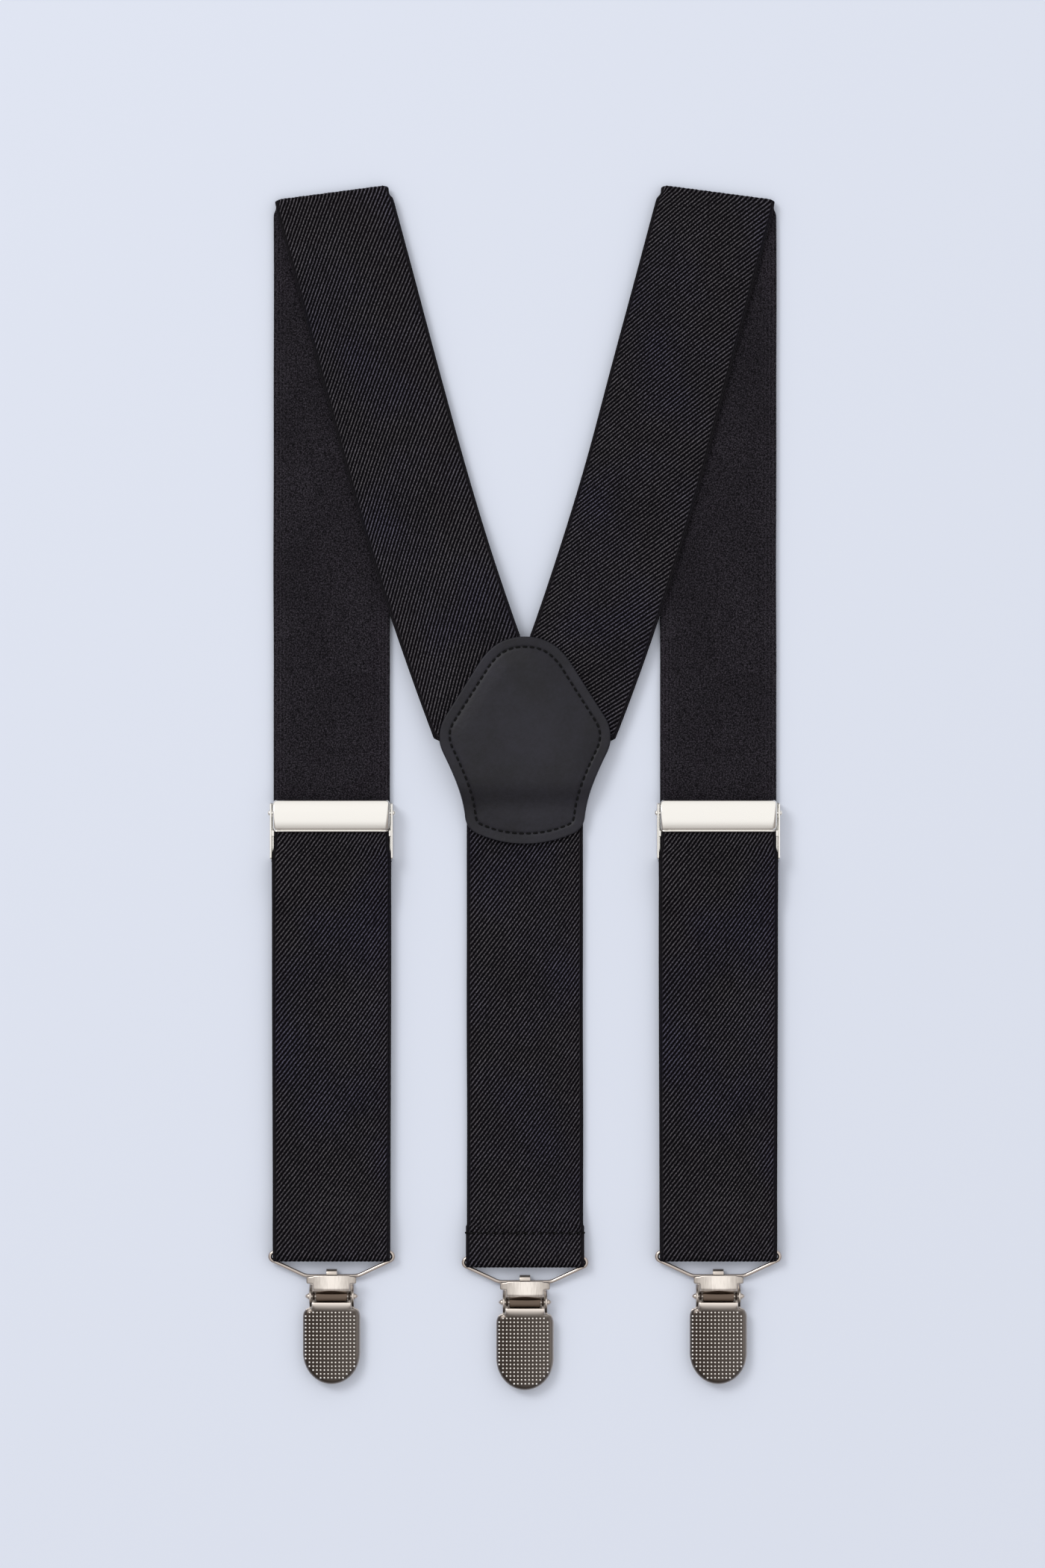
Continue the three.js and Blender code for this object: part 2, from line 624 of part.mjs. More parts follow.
function clipLever() {
  const barrelHalf = earHalfWidth - earSheet - 0.35 - clipSheet - 0.35;
  const top = leverZ + leverSheet;
  const web = new THREE.Shape();
  web.moveTo(leverTop, leverZ);
  web.lineTo(leverTop, top);
  web.quadraticCurveTo(leverTop / 2, top + 0.5, leverFoot + 0.3, top + 0.1);
  web.quadraticCurveTo(leverFoot - 0.3, top - 0.1, leverFoot - 0.3, pinZ + barrelRadius);
  web.lineTo(0.3, pinZ + barrelRadius - 0.3);
  web.lineTo(barrelRadius - 0.1, pinZ + 0.2);
  web.quadraticCurveTo(barrelRadius + 0.2, leverZ, barrelRadius + 1.4, leverZ);
  web.lineTo(leverTop, leverZ);
  const sheet = new THREE.Shape();
  sheet.moveTo(leverTop, leverZ);
  sheet.lineTo(leverTop, top);
  sheet.quadraticCurveTo(leverTop / 2, top + 0.5, leverFoot + 0.3, top + 0.1);
  sheet.lineTo(leverFoot + 0.3, leverZ);
  sheet.lineTo(leverTop, leverZ);
  const arm = block(-leverArm, leverArm, leverArmFoot, leverTop, leverZ, top);
  const barrel = rod(barrelRadius, -barrelHalf, barrelHalf, 0, pinZ, 14);
  const cam = rod(barrelRadius, -barrelHalf, barrelHalf, -lobe, pinZ, 14);
  const whole = join(
    profile(web, barrelHalf, 4),
    profile(sheet, leverHalfWidth, 4),
    arm,
    barrel,
    cam,
  );
  return cut(whole, rod(pinBore, -barrelHalf - 1, barrelHalf + 1, 0, pinZ));
}

function clipPin() {
  const headStart = earHalfWidth + 0.15;
  const outline = [
    new THREE.Vector2(0, -pinHalfLength),
    new THREE.Vector2(0.45, -pinHalfLength + 0.15),
    new THREE.Vector2(0.95, -headStart),
    new THREE.Vector2(pinRadius, -headStart),
    new THREE.Vector2(pinRadius, headStart),
    new THREE.Vector2(0.95, headStart),
    new THREE.Vector2(0.45, pinHalfLength - 0.15),
    new THREE.Vector2(0, pinHalfLength),
  ];
  return new THREE.LatheGeometry(outline, 12).rotateZ(Math.PI / 2).translate(0, 0, pinZ);
}

function clip(prefix, y) {
  const group = new THREE.Group();
  group.position.y = y;
  group.add(named(prefix + "_clip_back_plate", clipBackPlate(), colours.satinNickel));
  group.add(named(prefix + "_clip_front_jaw", clipFrontJaw(), colours.gunmetal));
  group.add(named(prefix + "_clip_lever", clipLever(), colours.satinNickel));
  group.add(named(prefix + "_clip_pin", clipPin(), colours.satinNickel));
  const top = clipSheet + gripThick;
  group.add(named(prefix + "_clip_back_grip", plate(gripOutline(), clipSheet, top), colours.grip));
  const upper = plate(gripOutline(), top + jawSlack, top + jawSlack + gripThick);
  group.add(named(prefix + "_clip_front_grip", upper, colours.grip));
  return group;
}

function hoop(prefix, y) {
  const wire = named(prefix + "_hoop", hoopWire(), colours.nickel);
  wire.position.y = y;
  return wire;
}

function adjuster(prefix) {
  const group = new THREE.Group();
  group.position.y = adjusterY;
  group.add(named(prefix + "_adjuster_frame", adjusterFrame(), colours.nickel));
  group.add(named(prefix + "_adjuster_cover", adjusterCover(), colours.nickel));
  group.add(named(prefix + "_adjuster_outer_rivet", adjusterRivet(), colours.nickel));
  const turned = adjusterRivet().rotateZ(Math.PI);
  group.add(named(prefix + "_adjuster_inner_rivet", turned, colours.nickel));
  const seamZ = overZ + layer + half + 0.45;
  group.add(named(prefix + "_adjuster_stitching", stitchRow(-seamBelow, seamZ), colours.thread));
  return group;
}

// One side: everything that hangs from one shoulder strap. sign -1 turns it over to the left.
function side(prefix, sign, patchLevel) {
  const turned = new THREE.Group();
  turned.scale.x = sign;
  const rise = patchLevel - overZ;
  turned.add(named(prefix + "_shoulder_strap", shoulderStrap(rise), colours.webbing));
  const column = new THREE.Group();
  column.position.x = strapOffset;
  column.add(named(prefix + "_lower_strap", strapRun(), colours.webbing));
  column.add(named(prefix + "_hoop_loop", strapLoop(), colours.webbing));
  column.add(named(prefix + "_front_strap", returnStrap(), colours.webbing));
  column.add(adjuster(prefix));
  column.add(hoop(prefix, sideHoopY));
  column.add(clip(prefix, sideClipY));
  turned.add(column);
  return turned;
}

const braces = new THREE.Group();
const rightLevel = strapBaseZ + layer + half;
braces.add(side("right", 1, rightLevel));
braces.add(side("left", -1, rightLevel + layer));
braces.add(named("back_strap", backStrap(), colours.webbing));
braces.add(hoop("back", backHoopY));
braces.add(clip("back", backClipY));
const hemSeam = stitchRow(hemTop - hemSeamBelow, overZ + half + 0.25);
braces.add(named("back_hem_stitching", hemSeam, colours.thread));
const backLeather = plate(new THREE.Shape(patchOutline()), 0, leatherThick);
braces.add(named("patch_back", backLeather, colours.leather));
braces.add(named("patch_front", frontLeather(), colours.leather));
braces.add(named("patch_stitching", patchSeam(), colours.thread));

export default braces;
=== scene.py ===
"""Clip-on Y-back braces of wide black elastic webbing, laid flat with the shoulder straps folded over.

The file follows the object as it is put together: webbing, back patch, wire hoops, slide adjusters and
clips, and then the surface that it lies on, the lights and the camera. Everything is in metres.
"""

import json

import bpy
import numpy as np
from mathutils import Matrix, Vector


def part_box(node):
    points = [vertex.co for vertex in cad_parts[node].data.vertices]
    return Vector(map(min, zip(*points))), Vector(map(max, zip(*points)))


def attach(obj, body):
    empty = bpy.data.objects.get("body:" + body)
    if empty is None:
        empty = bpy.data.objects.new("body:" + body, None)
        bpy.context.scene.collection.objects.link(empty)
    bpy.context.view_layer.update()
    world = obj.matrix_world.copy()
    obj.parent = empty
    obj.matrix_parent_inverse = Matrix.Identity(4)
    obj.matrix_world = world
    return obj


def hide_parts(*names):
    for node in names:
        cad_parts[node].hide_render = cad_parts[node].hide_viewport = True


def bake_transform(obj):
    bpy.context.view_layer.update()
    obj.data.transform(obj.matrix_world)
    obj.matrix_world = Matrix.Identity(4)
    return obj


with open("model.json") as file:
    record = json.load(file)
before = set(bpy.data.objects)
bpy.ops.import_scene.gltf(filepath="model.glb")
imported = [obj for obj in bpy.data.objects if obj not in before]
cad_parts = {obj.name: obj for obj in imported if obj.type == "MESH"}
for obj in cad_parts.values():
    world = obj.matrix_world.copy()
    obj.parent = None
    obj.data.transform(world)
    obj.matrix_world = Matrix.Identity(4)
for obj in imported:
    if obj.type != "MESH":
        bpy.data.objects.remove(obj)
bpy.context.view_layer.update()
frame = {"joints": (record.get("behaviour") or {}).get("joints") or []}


# ---- Webbing ----
# All the straps are cut from one roll of elastic webbing, woven as a steep twill on its face and as a
# plain knit on its back, with a narrow plain selvedge along both edges. The twill's wales are worked
# into the surface: its grid is spaced so that every third point across or along it is on a crest.

mm = 0.001
web_width = 35 * mm
web_thick = 1.2 * mm
wale_pitch = 1.7 * mm       # from wale to wale, measured along the strap
wale_lean = 1.376           # a wale climbs this much for each unit across the web
wale_bow = 6.0              # and steepens by this much for each metre towards the right edge
wale_height = 0.14 * mm
selvedge = 1.0 * mm


def feed(tree, socket, value):
    """Links the socket to another node's output, or sets it to a plain value."""
    if isinstance(value, bpy.types.NodeSocket):
        tree.links.new(value, socket)
    else:
        socket.default_value = value


def add_node(tree, kind, sockets=(), **settings):
    """One shader node. sockets holds (name or number, value or the output of another node) pairs."""
    node = tree.nodes.new(kind)
    for name, value in settings.items():
        setattr(node, name, value)
    for name, value in dict(sockets).items():
        feed(tree, node.inputs[name], value)
    return node


def maths(tree, operation, *values):
    """The result of one Math node on values or outputs."""
    return add_node(tree, "ShaderNodeMath", enumerate(values), operation=operation).outputs[0]


def noise(tree, place, scale, detail, roughness=0.5):
    """Smooth random shades from 0 to 1, scale of them to the metre."""
    sockets = {"Vector": place, "Scale": scale, "Detail": detail, "Roughness": roughness}
    return add_node(tree, "ShaderNodeTexNoise", sockets).outputs[0]


def blend_colours(tree, share, first, second):
    """The colour that goes from first to second as share goes from 0 to 1."""
    return add_node(tree, "ShaderNodeMix", {0: share, 6: first, 7: second}, data_type="RGBA").outputs[2]


def ramp(tree, value, low, high):
    """The value, mapped so that low is 0 and high is 1, with a smooth start and end."""
    sockets = {"Value": value, "From Min": low, "From Max": high}
    node = add_node(tree, "ShaderNodeMapRange", sockets, interpolation_type="SMOOTHSTEP")
    return node.outputs[0]


def new_material(name, **shader):
    """(material, its nodes, its Principled shader), with the shader's sockets set from the keywords."""
    made = bpy.data.materials.new(name)
    made.use_nodes = True
    tree = made.node_tree
    surface = tree.nodes["Principled BSDF"]
    for socket, value in shader.items():
        surface.inputs[socket.replace("_", " ")].default_value = value
    return made, tree, surface


def emboss(tree, surface, height, strength, depth):
    """Makes the surface look raised and sunk by the shades of height."""
    bump = add_node(tree, "ShaderNodeBump", {"Height": height, "Strength": strength, "Distance": depth})
    tree.links.new(bump.outputs[0], surface.inputs["Normal"])


def web_place(tree):
    """(place, across) outputs of the web's own map: metres from its middle, and then along the strap."""
    place = add_node(tree, "ShaderNodeUVMap", uv_map="web").outputs[0]
    return place, add_node(tree, "ShaderNodeSeparateXYZ", {0: place}).outputs[0]


def twill_material():
    """The face: each wale is a cord of short threads with a painted highlight, and black between the wales.

    The painted highlight's brightness is the cosine of the wale's phase, which wanders a little, times the
    shade of short threads that lie along the wale. In the selvedge it gives way to painted light on fine ribs
    along the strap.
    """
    made, tree, surface = new_material("webbing_twill", Roughness=0.7, Specular_IOR_Level=0.035)
    place, across = web_place(tree)
    phase = add_node(tree, "ShaderNodeAttribute", attribute_name="wale").outputs["Fac"]
    phase = maths(tree, "ADD", phase, maths(tree, "MULTIPLY", noise(tree, place, 330.0, 2.0), 0.22))
    crest = maths(tree, "COSINE", maths(tree, "MULTIPLY", phase, 2 * np.pi))
    crest = ramp(tree, crest, -0.1, 1.0)
    leaning = {"Vector": place, "Rotation": (0, 0, -np.arctan(wale_lean)), "Scale": (2600, 1900, 1)}
    thread_place = add_node(tree, "ShaderNodeMapping", leaning).outputs[0]
    threads = ramp(tree, noise(tree, thread_place, 1.0, 2.0), 0.38, 0.68)
    cloud = noise(tree, place, 55.0, 3.0)
    strength = maths(tree, "MULTIPLY_ADD", threads, 0.85, 0.22)
    strength = maths(tree, "MULTIPLY", strength, maths(tree, "MULTIPLY_ADD", cloud, 0.9, 0.55))
    edge = maths(tree, "ABSOLUTE", across)
    plain_from = web_width / 2 - selvedge
    plain = ramp(tree, edge, plain_from - 0.5 * mm, plain_from + 0.3 * mm)
    rib = maths(tree, "COSINE", maths(tree, "MULTIPLY", edge, 2 * np.pi / (0.55 * mm)))
    rib = maths(tree, "MULTIPLY_ADD", rib, 0.05, 0.06)
    lit = maths(tree, "MULTIPLY", crest, strength)
    lit = add_node(tree, "ShaderNodeMix", {0: plain, 2: lit, 3: rib}).outputs[0]
    # The grey is the painted highlight on the crests and ribs; the black is the webbing's own colour.
    black = (0.0012, 0.0009, 0.0018, 1)
    warm_grey, blue_grey = (0.110, 0.103, 0.116, 1), (0.094, 0.090, 0.132, 1)
    grey = blend_colours(tree, ramp(tree, noise(tree, place, 28.0, 2.0), 0.4, 0.7), warm_grey, blue_grey)
    tree.links.new(blend_colours(tree, lit, black, grey), surface.inputs["Base Color"])
    emboss(tree, surface, maths(tree, "ADD", crest, maths(tree, "MULTIPLY", threads, 0.35)), 0.6, 0.1 * mm)
    return made


def knit_material():
    """The back: small stitches in fine columns, with a few fine cords along each edge.

    Its brightness is a fine grain times the nearness to a stitch's middle, which paints a highlight on each
    stitch, plus the cosine of the distance to the edge in the last 6 mm, which paints light on the cords.
    """
    made, tree, surface = new_material(
        "webbing_knit",
        Roughness=0.85,
        Sheen_Weight=0.03,
        Sheen_Roughness=0.5,
        Specular_IOR_Level=0.06,
    )
    place, across = web_place(tree)
    columns = add_node(tree, "ShaderNodeMapping", {"Vector": place, "Scale": (3600, 2600, 1)}).outputs[0]
    stitch = add_node(tree, "ShaderNodeTexVoronoi", {"Vector": columns, "Scale": 1.0}).outputs[0]
    stitch = ramp(tree, stitch, 1.0, 0.0)
    grain = ramp(tree, noise(tree, place, 2100.0, 3.0, roughness=0.7), 0.36, 0.66)
    cloud = noise(tree, place, 45.0, 3.0)
    lit = maths(tree, "MULTIPLY", maths(tree, "MULTIPLY_ADD", grain, 0.95, 0.05), stitch)
    lit = maths(tree, "MULTIPLY", lit, maths(tree, "MULTIPLY_ADD", cloud, 1.0, 0.5))
    edge = maths(tree, "ABSOLUTE", across)
    cords = maths(tree, "COSINE", maths(tree, "MULTIPLY", edge, 2 * np.pi / (1.1 * mm)))
    near = ramp(tree, edge, web_width / 2 - 6 * mm, web_width / 2 - 1 * mm)
    cords = maths(tree, "MULTIPLY", ramp(tree, cords, 0.2, 1.0), near)
    lit = maths(tree, "MULTIPLY_ADD", cords, 0.16, lit)
    # The grey is the painted highlight on the stitches and cords; the black is the webbing's own colour.
    black, grey = (0.0022, 0.0018, 0.0029, 1), (0.054, 0.048, 0.061, 1)
    tree.links.new(blend_colours(tree, lit, black, grey), surface.inputs["Base Color"])
    emboss(tree, surface, maths(tree, "ADD", stitch, grain), 0.25, 0.06 * mm)
    return made


twill = twill_material()
knit = knit_material()


def new_piece(name, points, faces, slot, *materials, smooth_below=40):
    """A mesh object at the origin. Edges that turn by less than smooth_below degrees are shaded smooth."""
    mesh = bpy.data.meshes.new(name)
    mesh.from_pydata(np.asarray(points).tolist(), [], faces)
    mesh.validate()
    for material in materials:
        mesh.materials.append(material)
    mesh.polygons.foreach_set("use_smooth", np.ones(len(mesh.polygons), bool))
    mesh.set_sharp_from_angle(angle=np.radians(smooth_below))
    piece = bpy.data.objects.new(name, mesh)
    bpy.context.scene.collection.objects.link(piece)
    return piece


def set_kinds(piece, kinds):
    """Gives each face of the piece the number of its material."""
    piece.data.polygons.foreach_set("material_index", np.asarray(kinds, np.int32))


def between_rings(index):
    """Rows of four point numbers, for the faces between each ring of points and the next."""
    a, b = index[:-1], np.roll(index[:-1], -1, 1)
    d, c = index[1:], np.roll(index[1:], -1, 1)
    return np.stack([a, b, c, d], -1).reshape(-1, 4)


def wale_climb(u):
    """How far along the strap a wale has climbed at u from its middle: a straight lean and a slight bow."""
    return wale_lean * u + wale_bow * u * u / 2


def web_columns():
    """Places across the face: a rounded edge, the plain selvedge, and then every third of a wale."""
    third = wale_pitch / 3
    limit = web_width / 2 - selvedge
    low = np.ceil(wale_climb(-limit) / third)
    high = np.floor(wale_climb(limit) / third)
    climbs = np.arange(low, high + 1) * third
    middle = (np.sqrt(wale_lean**2 + 2 * wale_bow * climbs) - wale_lean) / wale_bow
    side = web_width / 2 - np.array([0.12, 0.4, 0.7, 0.92]) * mm
    return np.concatenate([-side, middle, side[::-1]])


def web_ribbon(name, place, start, end, waver=0.0):
    """A closed band of webbing from start to end along its length.

    place(u, v, w) gives the points for places across, along and out of the face. The section's ring
    goes across the face, round the right edge, back across the knit side and round the left edge. The
    face stands out by half the wale height times the cosine of the phase, which falls by one for each
    pitch climbed, and fades to nothing in the selvedge.
    """
    third = wale_pitch / 3
    inner = np.arange(np.ceil(start / third + 0.3), np.floor(end / third - 0.3) + 1) * third
    rows = np.concatenate([[start], inner, [end]])
    face = web_columns()
    half = web_thick / 2
    rim = web_width / 2
    back = np.linspace(rim - 0.2 * mm, -rim + 0.2 * mm, 15)
    across = np.concatenate([face, [rim, rim], back, [-rim, -rim]])
    level = np.concatenate([
        np.full(len(face), half - wale_height / 2),
        [0.3 * half, -0.4 * half],
        np.full(len(back), -half),
        [-0.4 * half, 0.3 * half],
    ])
    level[[0, len(face) - 1]] -= 0.08 * mm
    v, u = np.meshgrid(rows, across, indexing="ij")
    w = np.broadcast_to(level, u.shape).copy()
    phase = (v - wale_climb(u)) / wale_pitch
    inside = np.clip((rim - selvedge + 0.4 * mm - np.abs(u)) / (0.8 * mm), 0, 1)
    on_face = np.zeros(len(across))
    on_face[: len(face)] = 1
    w += on_face * inside * wale_height / 2 * np.cos(2 * np.pi * phase)
    drift = waver * (np.sin(v / (23 * mm)) + 0.6 * np.sin(v / (9.1 * mm) + 1.3))
    x, y, z = place(u + drift, v, w)
    points = np.stack([x, y, z], -1).reshape(-1, 3)
    count = len(across)
    index = np.arange(len(points)).reshape(-1, count)
    quads = between_rings(index)
    triangles = np.stack([quads[:, [0, 1, 2]], quads[:, [0, 2, 3]]], 1).reshape(-1, 3)
    faces = triangles.tolist() + [index[0][::-1].tolist(), index[-1].tolist()]
    piece = new_piece(name, points, faces, "elastic_webbing", twill, knit)
    side = np.where(np.arange(count) < len(face) - 1, 0, 1)
    kinds = np.repeat(np.tile(side, len(rows) - 1), 2)
    set_kinds(piece, np.concatenate([kinds, [1, 1]]))
    mesh = piece.data
    wale = mesh.attributes.new("wale", "FLOAT", "POINT")
    wale.data.foreach_set("value", phase.ravel().astype(np.float32))
    corners = np.zeros(len(mesh.loops), np.int32)
    mesh.loops.foreach_get("vertex_index", corners)
    flat = np.stack([u.ravel(), v.ravel()], -1)[corners]
    mesh.uv_layers.new(name="web").data.foreach_set("uv", flat.astype(np.float32).ravel())
    return piece


def ease(share):
    """0 to 1 with a level start and end: three squares less two cubes."""
    share = np.clip(share, 0, 1)
    return share * share * (3 - 2 * share)


def eased_stretch(y0, z0, y1, z1, steps=24):
    """Points of a line that goes from one place and level to another, level at both ends."""
    share = np.linspace(0, 1, steps + 1)
    return np.stack([y0 + (y1 - y0) * share, z0 + (z1 - z0) * ease(share)], -1)


def bend(y, z, radius, first, last, steps=24):
    """Points of an arc about (y, z), from one angle to another in degrees."""
    angle = np.radians(np.linspace(first, last, steps + 1))
    return np.stack([y + radius * np.cos(angle), z + radius * np.sin(angle)], -1)


def side_route(*stretches):
    """A route seen from the side, through the stretches' points, as (lengths along it, its points)."""
    line = np.concatenate(stretches)
    step = np.linalg.norm(np.diff(line, axis=0), axis=1)
    line = line[np.concatenate([[True], step > 1e-6])]
    step = np.linalg.norm(np.diff(line, axis=0), axis=1)
    return np.concatenate([[0], np.cumsum(step)]), line


def along_route(route, middle_x, offset=0.0):
    """A place function for web_ribbon: the web's middle line follows the route, and its face is on the
    route's left. offset is the length of webbing before the route's start."""
    lengths, line = route
    small = 0.05 * mm

    def at(distance):
        """(y, z) of the route after this length."""
        return np.interp(distance, lengths, line[:, 0]), np.interp(distance, lengths, line[:, 1])

    def place(u, v, w):
        """The route's point after v, moved by w at right angles to the route and by u sideways."""
        y, z = at(v - offset)
        before, after = at(v - offset - small), at(v - offset + small)
        ty, tz = after[0] - before[0], after[1] - before[1]
        size = np.hypot(ty, tz)
        return middle_x + u, y - w * tz / size, z + w * ty / size

    return place


# ---- Back strap ----
# One length of webbing from the patch down to the back clip. It is turned under round the hoop's bar,
# and the turned end is sewn down behind, where the two layers make a slightly wider, flatter hem.

joints = {joint["name"]: joint for joint in frame["joints"]}
bar_y = {side: joints[side + "_hoop_swing"]["pos_m"][1] for side in ("left", "right", "back")}
bar_z = joints["right_hoop_swing"]["pos_m"][2]
layer = web_thick + 0.3 * mm  # from one layer of webbing to the next
run_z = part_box("right_lower_strap")[0].z + web_thick / 2  # the lowest layer
over_z = run_z + layer
wrap = bar_z - run_z  # the bend round a hoop's bar
hem_top = bar_y["back"] + 10.65 * mm
hem_seam = hem_top - 2 * mm
back_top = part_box("back_strap")[1].y
patch_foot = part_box("patch_front")[0].y
in_patch_z = 1.95 * mm
back_route = side_route(
    [[hem_top, run_z], [bar_y["back"], run_z]],
    bend(bar_y["back"], bar_z, wrap, -90, -270),
    [[bar_y["back"], bar_z + wrap], [bar_y["back"] + 1 * mm, bar_z + wrap]],
    eased_stretch(bar_y["back"] + 1 * mm, bar_z + wrap, hem_top + 0.5 * mm, over_z),
    eased_stretch(hem_top + 0.5 * mm, over_z, hem_top + 9 * mm, run_z),
    eased_stretch(patch_foot - 10 * mm, run_z, patch_foot, in_patch_z),
    [[back_top, in_patch_z]],
)
back_length = back_route[0][-1]


def back_strap_place(u, v, w):
    """The route's place, 1.8 percent wider over the hem and pressed down along its seam."""
    x, y, z = along_route(back_route, 0.0)(u, v, w)
    front = z > run_z + 0.4 * layer
    over_hem = front * ease((hem_top + 0.6 * mm - y) / (0.7 * mm))
    dent = np.exp(-(((y - hem_seam) / (0.55 * mm)) ** 2)) * (w > 0) * front
    return x * (1 + 0.018 * over_hem), y, z - 0.16 * mm * dent


back_strap = web_ribbon("back_web", back_strap_place, 0.0, back_length, waver=0.05 * mm)
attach(back_strap, "root")
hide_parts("back_strap")


# ---- Shoulder straps ----
# One length of webbing on each side, sewn into the patch. It runs out and up over the shoulder, where it
# is folded over flat on a slightly tilted line, and comes straight down with its knit side up. The left
# one lies on top where the two cross inside the patch.

sides = (("left", -1), ("right", 1))
strap_x = joints["right_cover_flip"]["pos_m"][0]
upper_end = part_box("right_lower_strap")[1].y
fold_y = 177.74 * mm
diagonal_end = np.array([4.25, 3.05]) * mm
diagonal_turn = np.radians(7.33)
straight_share = 0.41
fold_radius = layer / 2
reach_on = straight_share + (1 - straight_share) * np.sin(diagonal_turn) / diagonal_turn
reach_in = (1 - straight_share) * (1 - np.cos(diagonal_turn)) / diagonal_turn
chord = np.array([strap_x - diagonal_end[0], fold_y - diagonal_end[1]])
heading = np.arctan2(chord[0], chord[1]) - np.arctan2(reach_in, reach_on)
diagonal_length = np.hypot(*chord) / np.hypot(reach_on, reach_in)
straight_length = straight_share * diagonal_length
bend_radius = (diagonal_length - straight_length) / diagonal_turn
fold_tilt = heading / 2
patch_level = {"right": 3.45 * mm, "left": 4.95 * mm}


def diagonal_middle(distance):
    """(x, y, heading) of the diagonal's middle line: straight at first, then a wide arc inwards."""
    straight = np.minimum(distance, straight_length)
    turned = np.maximum(distance - straight_length, 0) / bend_radius
    x = -np.sin(heading) * straight + bend_radius * (np.cos(heading + turned) - np.cos(heading))
    y = -np.cos(heading) * straight - bend_radius * (np.sin(heading + turned) - np.sin(heading))
    return x, y, heading + turned


def shoulder_place(side, sign):
    """A place function for one shoulder strap: v is 0 on the fold's line, and grows towards the patch.

    Below the fold the web lies at the run's level. It goes round a half circle about the fold's line,
    and then its points are turned about that line, so it heads off at twice the fold's tilt. Its end
    is cut level, with its outer corner cut back so that the patch covers it.
    """
    rise = patch_level[side] - over_z

    def place(u, v, w):
        """A point of the strap, knit side up below the fold and face up past it."""
        u, w = -sign * u, -w
        cut = diagonal_length - 0.4 * u - 9.7 * mm * np.clip(2 * u / web_width, 0, 1) ** 1.2
        last = np.minimum(cut, diagonal_length) - 2.5 * mm
        share = np.clip((v - last) / (diagonal_length - last), 0, 1)
        v = np.where(share > 0, last + share * (cut - last), v)
        past = v * np.cos(fold_tilt) + u * np.sin(fold_tilt)
        along = u * np.cos(fold_tilt) - v * np.sin(fold_tilt)
        angle = np.clip(past / fold_radius, 0, np.pi)
        beyond = (fold_radius - w) * np.sin(angle) - np.maximum(past - np.pi * fold_radius, 0)
        x = along * np.cos(fold_tilt) + beyond * np.sin(fold_tilt)
        y = -along * np.sin(fold_tilt) + beyond * np.cos(fold_tilt)
        z = run_z + fold_radius - (fold_radius - w) * np.cos(angle)
        distance = -x * np.sin(heading) - y * np.cos(heading)
        sideways = x * np.cos(heading) - y * np.sin(heading)
        mx, my, turned = diagonal_middle(np.maximum(distance, 0))
        climb = rise * ease((distance - 95 * mm) / (37 * mm))
        bent_x = mx + sideways * np.cos(turned)
        bent_y = my - sideways * np.sin(turned)
        folded = distance > 0
        straight = past <= 0
        x = np.where(straight, u, np.where(folded, bent_x, x))
        y = np.where(straight, v, np.where(folded, bent_y, y))
        z = np.where(straight, run_z + w, np.where(folded, z + climb, z))
        above = x * np.sin(fold_tilt) + y * np.cos(fold_tilt)
        aside = x * np.cos(fold_tilt) - y * np.sin(fold_tilt)
        near_edge = np.clip((np.abs(aside) - 15.2 * mm) / (2.3 * mm), 0, 1.2)
        drop = 0.9 * mm * near_edge**2 * np.exp(-((above / (2.4 * mm)) ** 2))
        narrow = 0.55 * mm * np.sign(aside) * near_edge * np.exp(-((above / (1.6 * mm)) ** 2))
        x = x - drop * np.sin(fold_tilt) - narrow * np.cos(fold_tilt)
        y = y - drop * np.cos(fold_tilt) + narrow * np.sin(fold_tilt)
        return sign * (strap_x + x), fold_y + y, z

    return place


shoulder_start = upper_end - fold_y
for side, sign in sides:
    strap = web_ribbon(
        side + "_shoulder_web", shoulder_place(side, sign), shoulder_start, diagonal_length, waver=0.05 * mm
    )
    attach(strap, "root")
    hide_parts(side + "_shoulder_strap")


# ---- Lower straps ----
# The same webbing goes on down behind the adjuster, round the hoop's bar and back up in front, and wraps
# the adjuster's bar, where its end is sewn. Its face is outside all the way. The part behind lengthens
# and the part in front shortens as the adjuster slides, so they are pieces of their own.

pivot_y = joints["right_cover_flip"]["pos_m"][1]
loop_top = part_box("right_hoop_loop")[1].y
lower_length = upper_end - loop_top
adjuster_bar = pivot_y - 5.1 * mm
bar_level = 4.05 * mm
wrap_top = 5.2 * mm
tail_y = pivot_y - 19.2 * mm
over_tail = over_z + layer - 0.1 * mm
loop_route = side_route(
    [[loop_top, run_z], [bar_y["right"], run_z]],
    bend(bar_y["right"], bar_z, wrap, -90, -270),
    [[loop_top, bar_z + wrap]],
)
front_route = side_route(
    [[loop_top, bar_z + wrap], [loop_top + 1 * mm, bar_z + wrap]],
    eased_stretch(loop_top + 1 * mm, bar_z + wrap, loop_top + 14 * mm, over_z),
    eased_stretch(tail_y - 12 * mm, over_z, tail_y - 1 * mm, over_tail),
    eased_stretch(tail_y - 1 * mm, over_tail, adjuster_bar - 2 * mm, wrap_top),
    bend(adjuster_bar, bar_level, wrap_top - bar_level, 90, -90),
    [[tail_y, over_z]],
)
loop_length = loop_route[0][-1]
front_length = front_route[0][-1]
wall_end = pivot_y - 10.9 * mm


def front_place(x_middle, offset):
    """The route's place, a little wider, but drawn in between the adjuster's walls."""
    follow = along_route(front_route, x_middle, offset)

    def place(u, v, w):
        """x is stretched about the middle, by 1.2 percent and then more upwards, less the drawing in."""
        x, y, z = follow(u, v, w)
        drawn = 0.038 * ease((y - wall_end + 2.2 * mm) / (3.5 * mm))
        wide = 1.012 + 0.014 * ease((v - offset) / (90 * mm)) - drawn
        return x_middle + (x - x_middle) * wide, y, z

    return place


